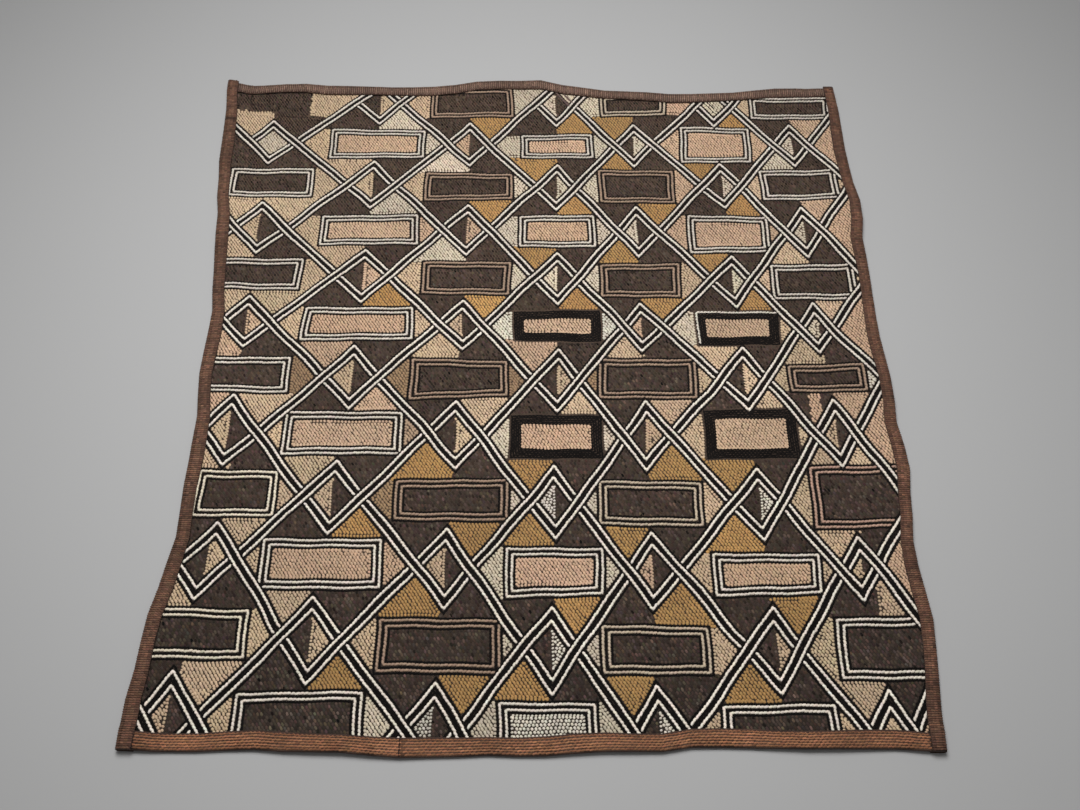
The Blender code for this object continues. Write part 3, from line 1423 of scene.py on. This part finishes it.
    def frame_line(
        self,
        batch: Stitches,
        framed: FramedBlock,
        distance: float,
        thread: Thread,
        whole: bool,
    ) -> None:
        """Stitch one line of a block's frame.

        Args:
            batch: The stitches to add to.
            framed: The block.
            distance: How far the line lies inside its outline.
            thread: The thread.
            whole: Whether it runs all round, or along the top and the left only.
        """
        path = offset_path(framed.corners, distance * self.lattice.widening(framed.row), closed=True)
        self.line(batch, path if whole else path[[2, 3, 0]], whole, thread, self.under_band)

    def under_band(self, places: np.ndarray) -> np.ndarray:
        """Which places a band covers."""
        return self.lattice.nearest_band(places) < UNDER_STOP

    def shades(self, points: np.ndarray) -> np.ndarray:
        """Label of the fill at each place: its letter from the charts, then the name of its space.

        Args:
            points: Places on the cloth.

        Returns:
            An array of labels.
        """
        letters = np.full(len(points), Shade.BARE.value, dtype="<U8")
        heights = {row: self.lattice.band_height(row, points[:, 0]) for row in self.lattice.band_points}
        last = len(ROWS) - 1
        for row in range(len(ROWS)):
            inside = (points[:, 1] > heights[row - 1]) & (points[:, 1] < heights[row])
            self.mark_knots(letters, points, inside, row)
            between = (points[:, 1] < heights[row - 1]) & (points[:, 1] > heights[row])
            if row == 0:
                between |= (points[:, 1] >= heights[-1]) & (points[:, 1] >= heights[0])
            between &= letters == Shade.BARE.value
            self.mark_cells(letters, points, between, row)
            self.mark_sides(letters, points, between, row)
        rest = (letters == Shade.BARE.value) & (points[:, 1] < heights[last])
        self.mark_cells(letters, points, rest, last)
        return letters

    def mark_knots(self, letters: np.ndarray, points: np.ndarray, inside: np.ndarray, row: int) -> None:
        """Write the left and right fills of a row's knots.

        Args:
            letters: The labels to write.
            points: Their places.
            inside: Marks the places that lie within the row's knots.
            row: The row.
        """
        for column in range(-1, len(COLUMNS) + 1):
            if (column + row) % 2 == 0:
                continue
            middle, _ = self.lattice.centre(column, row)
            near = inside & (np.abs(points[:, 0] - middle) < self.knot_reach)
            name = self.lattice.cell_name(column, row)
            left, right = KNOTS.get(name, EDGE_KNOT)
            letters[near & (points[:, 0] < middle)] = f"{left}{name}l"
            letters[near & (points[:, 0] >= middle)] = f"{right}{name}r"

    def mark_sides(self, letters: np.ndarray, points: np.ndarray, inside: np.ndarray, row: int) -> None:
        """Write the fills beyond the outermost knots of a row, where no block stands.

        Args:
            letters: The labels to write.
            points: Their places.
            inside: Marks the places that lie in the row.
            row: The row.
        """
        if row % 2 == 1:
            last = len(COLUMNS) - 1
            letters[inside & (points[:, 0] < self.lattice.centre(0, row)[0])] = Shade.DARK.value
            letters[inside & (points[:, 0] > self.lattice.centre(last, row)[0])] = Shade.PINK.value

    def mark_cells(self, letters: np.ndarray, points: np.ndarray, inside: np.ndarray, row: int) -> None:
        """Write the fills in and round a row's blocks.

        Args:
            letters: The labels to write.
            points: Their places.
            inside: Marks the places that lie in the row.
            row: The row.
        """
        columns = [column for column in range(len(COLUMNS)) if (column + row) % 2 == 0]
        middles = np.array([self.lattice.centre(column, row)[0] for column in columns])
        nearest = np.argmin(np.abs(points[:, :1] - middles[None]), axis=1)
        for index, column in enumerate(columns):
            framed = self.blocks[self.lattice.cell_name(column, row)]
            mine = inside & (nearest == index)
            for number, (part, letter) in enumerate(zip(framed.spaces(points), framed.chart.around)):
                letters[mine & part] = f"{letter}{framed.name}{number}"
            letters[mine & (framed.depth(points) > 0)] = f"{framed.chart.inside.value}{framed.name}i"
        striped = inside & np.char.startswith(letters, Shade.STRIPED.value)
        light = (points[:, 0] > STRIPE_LEFT) & (points[:, 0] < STRIPE_RIGHT)
        letters[striped] = np.where(light[striped], Shade.PINK.value, Shade.DARK.value)

    def blocked(self, points: np.ndarray, margin: float) -> np.ndarray:
        """Which places lie on a band or a frame, or nearer to one than a margin.

        Args:
            points: Places on the cloth.
            margin: The margin.

        Returns:
            An array of truth values.
        """
        hidden = self.lattice.nearest_band(points) < BAND_HALF + margin
        for framed in self.blocks.values():
            if framed.chart.frame is not Frame.NONE:
                depth = framed.depth(points) / self.lattice.widening(framed.row)
                hidden |= (depth > -FRAME_OUTSIDE - margin) & (depth < FRAME_DEPTH + margin)
        return hidden

    def meeting_starts(self) -> list[tuple[np.ndarray, np.ndarray]]:
        """Places from which a line may run where two fills meet, and the way that it runs.

        Returns:
            The places and their ways.
        """
        up = np.array((0.0, 1.0))
        starts = []
        for framed in self.blocks.values():
            low_left, low_right, high_right, high_left = framed.corners
            top, bottom = (high_left + high_right) / 2, (low_left + low_right) / 2
            starts += [
                (high_left, high_left - high_right),
                (high_right, high_right - high_left),
                (low_left, low_left - low_right),
                (low_right, low_right - low_left),
                (np.array((framed.middle, top[1])), up),
                (np.array((framed.middle, bottom[1])), -up),
            ]
        for name in KNOTS:
            centre = np.array(self.lattice.centre(list(COLUMNS).index(name[0]), int(name[1:])))
            starts += [(centre, up), (centre, -up)]
        return starts

    def meeting_lines(self) -> list[np.ndarray]:
        """Straight lines where two fills meet with no band or frame between them.

        Returns:
            The two ends of each line.
        """
        covered = partial(self.blocked, margin=self.edging_margin)
        lines = []
        for start, away in self.meeting_starts():
            path = np.array((start, start + away / np.linalg.norm(away) * self.longest_meeting))
            first = next(visible_runs(path, False, covered), None)
            if first is None:
                continue
            line = np.array(first)
            along = line[1] - line[0]
            sideways = np.array((-along[1], along[0])) / (np.linalg.norm(along) + 1e-9)
            offsets = np.array(((1.0,), (-1.0,))) * sideways * self.edging * 2
            sides = self.shades(line.mean(axis=0) + offsets)
            if sides[0][0] != sides[1][0]:
                lines.append(line)
        return lines

    def near_meeting(self, points: np.ndarray, lines: list[np.ndarray]) -> np.ndarray:
        """Which places lie so near to where two fills meet that an edging stitch stands for them.

        Args:
            points: Places on the cloth.
            lines: The lines where fills meet.

        Returns:
            An array of truth values.
        """
        near = np.zeros(len(points), dtype=bool)
        for start, end in lines:
            along = end - start
            share = np.clip((points - start) @ along / (along @ along + 1e-12), 0.0, 1.0)
            gaps = np.linalg.norm(points - start - share[:, None] * along, axis=1)
            near |= gaps < self.fill_margin + self.edging
        return near

    def edge_places(self, lines: list[np.ndarray]) -> np.ndarray:
        """Places for one row of stitches along every band, frame and meeting line.

        Args:
            lines: Lines where two fills meet.

        Returns:
            The places, so set that the fills end cleanly.
        """
        paths = []
        for row, points in self.lattice.band_points.items():
            reach = BAND_HALF * self.lattice.widening(row) + self.edging
            paths += [(offset_path(points, side * reach, closed=False), False) for side in (-1, 1)]
        for framed in self.blocks.values():
            scale = self.lattice.widening(framed.row)
            for distance in (-FRAME_OUTSIDE * scale - self.edging, FRAME_DEPTH * scale + self.edging):
                paths.append((offset_path(framed.corners, distance, closed=True), True))
        for line in lines:
            reach = 1.25 * self.edging
            paths += [(offset_path(line, side * reach, closed=False), False) for side in (-1, 1)]
        covered = partial(self.blocked, margin=self.edging_margin)
        runs = (walk(path, self.fill_step, closed, covered) for path, closed in paths)
        return np.concatenate([centres for run in runs for centres, _, _ in run])

    def fill_places(self) -> tuple[np.ndarray, np.ndarray]:
        """Places of all the fills' stitches.

        Returns:
            The places, rows first and then the edging, and how long each stitch is.
        """
        low, high = (np.array(corner[:2]) for corner in CAD_BOX)
        rows = np.arange(low[1], high[1], self.fill_row)
        steps = np.arange(low[0], high[0], self.fill_step)
        grid_x, grid_y = np.meshgrid(steps, rows)
        grid_x = grid_x + (np.arange(len(rows)) % 3)[:, None] * self.fill_step / 3
        grid = np.stack((grid_x.ravel(), grid_y.ravel()), axis=1)
        grid += self.rng.normal(0.0, self.fill_jitter, grid.shape)
        lines = self.meeting_lines()
        grid = grid[~self.blocked(grid, self.fill_margin)]
        grid = grid[~self.near_meeting(grid, lines)]
        edge = self.edge_places(lines)
        reach = np.repeat((self.fill_length, self.edging_length), (len(grid), len(edge)))
        return np.concatenate((grid, edge)), reach

    def fills(self, pale: Stitches, warm: Stitches, dark: Stitches) -> None:
        """Fill every space with rows of short slanting stitches.

        Args:
            pale: Takes the cream, white, speckled and pink fills.
            warm: Takes the tan, ochre and brown fills.
            dark: Takes the dark fills.
        """
        points, reach = self.fill_places()
        labels = self.shades(points)
        letters = labels.astype("<U1")
        spaces, space = np.unique(labels, return_inverse=True)
        tones = self.rng.normal(1.0, self.space_tone, (len(spaces), 1))
        tones = tones * self.rng.normal(1.0, self.space_tone / 6, (len(spaces), 3))
        for shade, colour in THREAD_COLOURS.items():
            chosen = letters == shade.value
            count = int(chosen.sum())
            angles = self.fill_slant + self.rng.normal(0.0, self.slant_unevenness, count)
            lengths = reach[chosen] * self.rng.normal(1.0, self.length_unevenness, count)
            if shade is Shade.SPECKLED:
                lengths *= self.speck_share
            if shade is Shade.DARK:
                colours = self.tint(colour, count, self.dark_dye)
                worn = self.rng.random(count) < self.worn_share
                colours[worn] *= self.worn_light
                batch, tone_shift = dark, self.dark_fading
            else:
                colours = self.tint(colour, count, self.light_dye)
                batch, tone_shift = pale if shade in PALE_SHADES else warm, self.light_fill_painted_light
            # Colours change with height; for the light fills this is painted light, lighter towards the
            # top.
            colours *= np.interp(points[chosen, 1], CLOTH_SPAN, tone_shift)[:, None] * tones[space[chosen]]
            batch.add(self.sway(points[chosen]), angles, lengths, colours)

    def build(self) -> list[bpy.types.Object]:
        """Build all the stitching.

        Returns:
            The pieces, each under its own thread.
        """
        band_light, band_dark, frame_light, frame_brown, frame_dark = (Stitches() for _ in range(5))
        fill_pale, fill_warm, fill_dark = (Stitches() for _ in range(3))
        self.bands(band_light, band_dark)
        self.odd_knots(frame_brown, frame_dark)
        self.frames(frame_light, frame_brown, frame_dark)
        self.fills(fill_pale, fill_warm, fill_dark)
        cream = ThreadFinish("cream_raffia_thread").make()
        black = ThreadFinish("black_raffia_thread", 0.8, sheen=0.0, fibre=0.2, specular=0.12).make()
        pieces = []
        for name, batch, size, material in (
            ("band_cream_stitches", band_light, self.light_line_size, cream),
            ("band_black_stitches", band_dark, self.dark_line_size, black),
            ("frame_cream_stitches", frame_light, self.light_line_size, cream),
            ("frame_brown_stitches", frame_brown, self.light_line_size, cream),
            ("frame_black_stitches", frame_dark, self.dark_line_size, black),
            ("pale_fill_stitches", fill_pale, self.light_fill_size, cream),
            ("tan_fill_stitches", fill_warm, self.light_fill_size, cream),
            ("dark_fill_stitches", fill_dark, self.dark_fill_size, black),
        ):
            tucked = batch.all_centres() * (1.0 - LIP_TUCK)
            batch.keep(self.panel.covers(tucked) & ~self.strips.covers(tucked))
            mesh = stitch_mesh(name, batch, size, self.panel)
            pieces.append(new_object(name, mesh, material))
        return pieces


@dataclass(frozen=True)
class StripWeave:
    """How one strip is woven, and where it is joined.

    Attributes are its axis, the spacing and the rows of its threads, how far they overlap, their
    colour, whether they lie along the strip, how uneven they are, and the join's place along it.
    """

    node: str
    axis: int
    pitch: float
    rows: int
    overlap: float
    thread: tuple[int, int, int]
    lengthwise: bool = False
    uneven: float = 0.14
    join: float | None = None

    @property
    def thread_angle(self) -> float:
        """Direction of its raised threads in plan."""
        return 0.0 if (self.axis == 0) == self.lengthwise else np.pi / 2

    @property
    def crosswise_angle(self) -> float:
        """Direction across the strip in plan."""
        return np.pi / 2 if self.axis == 0 else 0.0

    def placed(self, along: np.ndarray, across: np.ndarray) -> np.ndarray:
        """Places in plan from distances along and across the strip."""
        return np.stack((along, across) if self.axis == 0 else (across, along), axis=1)

    def joined(self, stations: np.ndarray, reach: float) -> np.ndarray:
        """Which stations lie within a reach of the join."""
        return np.abs(stations - (math.inf if self.join is None else self.join)) < reach


@dataclass(frozen=True)
class StripEdges:
    """A strip's stations along it, and where its inner and outer edges lie across it there."""

    stations: np.ndarray
    inner: np.ndarray
    outer: np.ndarray

    @property
    def outward(self) -> np.ndarray:
        """Sign of the way from the inner to the outer edge."""
        return np.sign(self.outer - self.inner)

    def row_spacing(self, rows: int, margin: float) -> np.ndarray:
        """Width of each of a number of rows of threads, within a margin."""
        return (np.abs(self.outer - self.inner) - 2 * margin) / rows


@dataclass
class Binding:
    """The four folded strips: woven cloth with raised threads, sewn down along the inner edge.

    Attributes are the source of unevenness, the strips' weaves, how finely and how near its ends and
    edges a strip is threaded, how the threads lie, how unevenly the ribs are dyed, the painted shade
    on the outer rows and painted highlight on the middle rows that make the strip look rounded, the
    strength, length and start of the waves of wear along it, how it is joined, and how it is sewn.
    """

    rng: np.random.Generator
    weaves: tuple[StripWeave, ...] = (
        StripWeave("binding_left", 1, 1.75 * MM, 4, 1.5, (108, 77, 60), uneven=0.2, join=0.276),
        StripWeave("binding_right", 1, 1.75 * MM, 4, 1.5, (110, 77, 60), uneven=0.2),
        StripWeave("binding_bottom", 0, 3.1 * MM, 6, 1.35, (152, 104, 74), lengthwise=True, join=-0.0954),
        StripWeave("binding_top", 0, 1.9 * MM, 4, 1.4, (124, 98, 84)),
    )
    scan_step: float = 0.3 * MM
    end_margin: float = 1.2 * MM
    edge_margin: float = 0.5 * MM
    lengthwise_slant: float = 0.16
    slant_unevenness: float = 0.06
    rib_unevenness: float = 0.10
    # The outer rows are painted darker and the middle rows lighter: painted shade and painted highlight
    # that make the strip look rounded.
    outer_rows_painted_shade: float = 0.84
    middle_rows_painted_highlight: float = 1.08
    wear_waves: tuple[tuple[float, float, float], ...] = ((0.12, 21 * MM, 0.0), (0.09, 8 * MM, 2.0))
    join_reach: float = 1.3 * MM
    join_light: float = 0.45
    join_lean: float = 0.1
    join_overlap: float = 1.5
    join_depth: float = 0.5
    sewing_pitch: float = 4.6 * MM
    sewing_length: float = 2.9 * MM
    sewing_inset: float = 1.1 * MM
    sewing_slant: float = 0.5
    sewing: tuple[int, int, int] = (72, 46, 37)
    sewing_dye: float = 0.1
    size: StitchSize = StitchSize(1.8 * MM, 0.40 * MM, 6, 3)

    def edges(self, weave: StripWeave, surface: Surface) -> StripEdges:
        """Inner and outer edge of a strip at stations along it.

        Args:
            weave: The strip.
            surface: Its surface.

        Returns:
            The stations and edges.
        """
        mesh = frame["nodes"][weave.node].data
        places = np.array([vert.co[:2] for vert in mesh.vertices])
        along, across = places[:, weave.axis], places[:, 1 - weave.axis]
        stations = np.arange(along.min() + self.end_margin, along.max() - self.end_margin, weave.pitch)
        scan = np.arange(across.min(), across.max(), self.scan_step)
        grid = np.zeros((len(stations), len(scan), 2))
        grid[..., weave.axis] = stations[:, None]
        grid[..., 1 - weave.axis] = scan[None]
        covered = surface.covers(grid.reshape(-1, 2)).reshape(len(stations), len(scan))
        low = scan[np.argmax(covered, axis=1)]
        high = scan[len(scan) - 1 - np.argmax(covered[:, ::-1], axis=1)]
        inner, outer = (high, low) if across.mean() < 0 else (low, high)
        kept = covered.any(axis=1)
        return StripEdges(stations[kept], inner[kept], outer[kept])

    def weave_rows(self, batch: Stitches, weave: StripWeave, edges: StripEdges) -> None:
        """Lay a strip's raised threads, row by row outwards, with a seam where it is joined.

        Args:
            batch: The threads to add to.
            weave: The strip.
            edges: Its edges.
        """
        stations = edges.stations
        lean = np.arctan(np.gradient(edges.inner, stations))
        spacing = edges.row_spacing(weave.rows, self.edge_margin)
        rib_light = self.rng.normal(1.0, 0.0 if weave.lengthwise else self.rib_unevenness, len(stations))
        wear = 1.0
        for strength, length, start in self.wear_waves:
            wear = wear + strength * np.sin(stations / length + start)
        turned = weave.thread_angle + (lean if weave.axis == 0 else -lean)
        slant = self.lengthwise_slant if weave.lengthwise else 0.0
        lengths = np.full(len(stations), weave.pitch) if weave.lengthwise else spacing
        for row in range(weave.rows):
            # Painted shade on the outer rows and painted highlight on the middle rows.
            light = self.outer_rows_painted_shade if row in (0, weave.rows - 1) else self.middle_rows_painted_highlight
            across = edges.inner + edges.outward * (self.edge_margin + spacing * (row + 0.5))
            step = (row % 2) * weave.pitch / 2 if weave.lengthwise else 0.0
            angles = turned + self.rng.normal(0, self.slant_unevenness, len(stations)) + slant
            colours = self.tints(weave.thread, rib_light * wear * light, weave.uneven)
            colours[weave.joined(stations, self.join_reach)] *= self.join_light
            batch.add(weave.placed(stations + step, across), angles, lengths * weave.overlap, colours)
            if weave.join is not None:
                here = [np.argmin(np.abs(stations - weave.join))]
                place = weave.placed(np.array([weave.join]), across[here])
                lean_across = np.array([weave.crosswise_angle + self.join_lean])
                dark = self.tints(self.sewing, np.array([self.join_depth]), self.sewing_dye)
                batch.add(place, lean_across, self.join_overlap * spacing[here], dark)

    def sew_down(self, batch: Stitches, weave: StripWeave, edges: StripEdges) -> None:
        """Sew a strip down with one row of slanting stitches along its inner edge.

        Args:
            batch: The threads to add to.
            weave: The strip.
            edges: Its edges.
        """
        every = max(1, round(self.sewing_pitch / weave.pitch))
        seam = weave.placed(edges.stations, edges.inner + edges.outward * self.sewing_inset)[::every]
        along = 0.0 if weave.axis == 0 else np.pi / 2
        slant = along + self.sewing_slant + self.rng.normal(0, 2 * self.slant_unevenness, len(seam))
        lengths = np.full(len(seam), self.sewing_length)
        batch.add(seam, slant, lengths, self.tints(self.sewing, np.ones(len(seam)), self.sewing_dye))

    def threads(self, weave: StripWeave, surface: Surface, over: Surface | None) -> Stitches:
        """Raised threads of one strip and its row of sewing.

        Args:
            weave: The strip.
            surface: Its surface.
            over: Strips that cover its ends.

        Returns:
            The threads.
        """
        edges = self.edges(weave, surface)
        batch = Stitches()
        self.weave_rows(batch, weave, edges)
        self.sew_down(batch, weave, edges)
        centres = batch.all_centres()
        shown = surface.covers(centres)
        batch.keep(shown if over is None else shown & ~over.covers(centres))
        return batch

    def tints(self, colour: tuple[int, int, int], light: np.ndarray, spread: float) -> np.ndarray:
        """Linear colours of a row of threads.

        Args:
            colour: The dyed thread, as display values.
            light: How light each thread is.
            spread: How unevenly it is dyed.

        Returns:
            A colour for each.
        """
        uneven = self.rng.normal(1.0, spread, (len(light), 1))
        uneven = uneven * self.rng.normal(1.0, spread / 5, (len(light), 3))
        return np.clip(np.array(linear(colour)) * uneven * light[:, None], DARKEST, 1.0)

    def build(self) -> list[tuple[bpy.types.Object, bpy.types.Object]]:
        """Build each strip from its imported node, with its threads.

        Returns:
            Each strip and its threads.
        """
        sides = Surface(search_tree(("binding_left", "binding_right")))
        material = ThreadFinish("binding_thread", 0.8, sheen=0.05, fibre=0.18, specular=0.3).make()
        pieces = []
        for weave in self.weaves:
            on_side = weave.axis == 1
            mesh = copy_of_node(weave.node, weave.node + "_cloth")
            mesh.shade_smooth()
            finish = BindingFinish(weave.node + "_ribbed_cloth", "Y" if on_side else "X", on_side)
            strip = new_object(weave.node + "_cloth", mesh, finish.make())
            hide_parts(weave.node)
            surface = Surface(search_tree((weave.node,)))
            batch = self.threads(weave, surface, None if on_side else sides)
            name = weave.node + "_threads"
            thread_mesh = stitch_mesh(name, batch, self.size, surface)
            pieces.append((strip, new_object(name, thread_mesh, material)))
        return pieces


@dataclass(frozen=True)
class Lamp:
    """One soft square lamp aimed at the cloth, with its power in watts and its spread in degrees."""

    name: str
    place: tuple[float, float, float]
    size: float
    power: float
    spread: float

    def hang(self) -> None:
        """Hang the lamp."""
        data = bpy.data.lights.new(self.name, "AREA")
        data.shape = "SQUARE"
        data.size = self.size
        data.energy = self.power
        data.spread = math.radians(self.spread)
        lamp = bpy.data.objects.new(self.name, data)
        lamp.location = self.place
        lamp.rotation_euler = (-Vector(self.place)).to_track_quat("-Z", "Y").to_euler()
        bpy.context.scene.collection.objects.link(lamp)


@dataclass
class Studio:
    """Pale floor, soft lights and the camera at the photograph's angle."""

    camera_height: float = 0.8586
    camera_back: float = 0.538
    camera_side: float = 0.0039
    pitch_down: float = 59.83
    lens: float = 40.0
    sensor_width: float = 36.0
    floor_half: float = 4.0
    floor_drop: float = 0.2 * MM
    floor_grey: float = 0.45
    floor_roughness: float = 0.9
    room_colour: tuple[float, float, float] = (1.0, 0.99, 0.97)
    room_light: float = 0.12
    lamps: tuple[Lamp, ...] = (
        Lamp("key_lamp", (-0.11, 0.25, 1.2), 0.7, 5.7, 104.0),
        Lamp("fill_lamp", (0.4, -0.6, 1.6), 1.2, 1.9, 180.0),
    )

    def floor(self) -> None:
        """Lay the floor."""
        bm = bmesh.new()
        bmesh.ops.create_grid(bm, x_segments=1, y_segments=1, size=self.floor_half)
        mesh = bpy.data.meshes.new("floor")
        bm.to_mesh(mesh)
        bm.free()
        nodes = Nodes("pale_floor")
        nodes.shader.inputs["Base Color"].default_value = (*(self.floor_grey,) * 3, 1)
        nodes.shader.inputs["Roughness"].default_value = self.floor_roughness
        mesh.materials.append(nodes.material)
        floor = bpy.data.objects.new("floor", mesh)
        bpy.context.scene.collection.objects.link(floor)
        floor.location.z = -self.floor_drop
        floor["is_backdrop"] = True

    def camera(self) -> None:
        """Set the camera."""
        data = bpy.data.cameras.new("photo_camera")
        data.lens = self.lens
        data.sensor_width = self.sensor_width
        camera = bpy.data.objects.new("photo_camera", data)
        camera.location = (self.camera_side, -self.camera_back, self.camera_height)
        camera.rotation_euler = (math.radians(90 - self.pitch_down), 0, 0)
        bpy.context.scene.collection.objects.link(camera)
        bpy.context.scene.camera = camera

    def build(self) -> None:
        """Build the whole studio."""
        self.floor()
        for lamp in self.lamps:
            lamp.hang()
        self.camera()
        world = bpy.data.worlds.new("soft_room")
        world.use_nodes = True
        back = world.node_tree.nodes["Background"]
        back.inputs["Color"].default_value = (*self.room_colour, 1)
        back.inputs["Strength"].default_value = self.room_light
        bpy.context.scene.world = world
        bpy.context.scene.view_settings.view_transform = "Standard"


def declare_cloth(
    stitches: list[bpy.types.Object],
    strips: list[tuple[bpy.types.Object, bpy.types.Object]],
) -> None:
    """Args:
        stitches: The stitching on it.
        strips: Each strip and its threads.
    """
    carried = stitches + [piece for pair in strips for piece in pair]


def main() -> None:
    """Build the cloth and its studio."""
    logging.basicConfig(level=logging.INFO, format="%(name)s %(message)s")
    panel = Surface(search_tree((PANEL,)), GROUND_SINK)
    covering = Surface(search_tree(STRIPS))
    lattice = Lattice(np.random.default_rng(SEED))
    ground = GroundCloth().build()
    stitches = Embroidery(lattice, panel, covering, np.random.default_rng(SEED + 1)).build()
    strips = Binding(np.random.default_rng(SEED + 2)).build()
    declare_cloth(stitches, strips)
    Studio().build()
    boxes = {"cad": CAD_BOX, "visual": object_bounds()}
    json.dumps({name: [list(map(float, corner)) for corner in box] for name, box in boxes.items()})


if __name__ == "__main__":
    main()
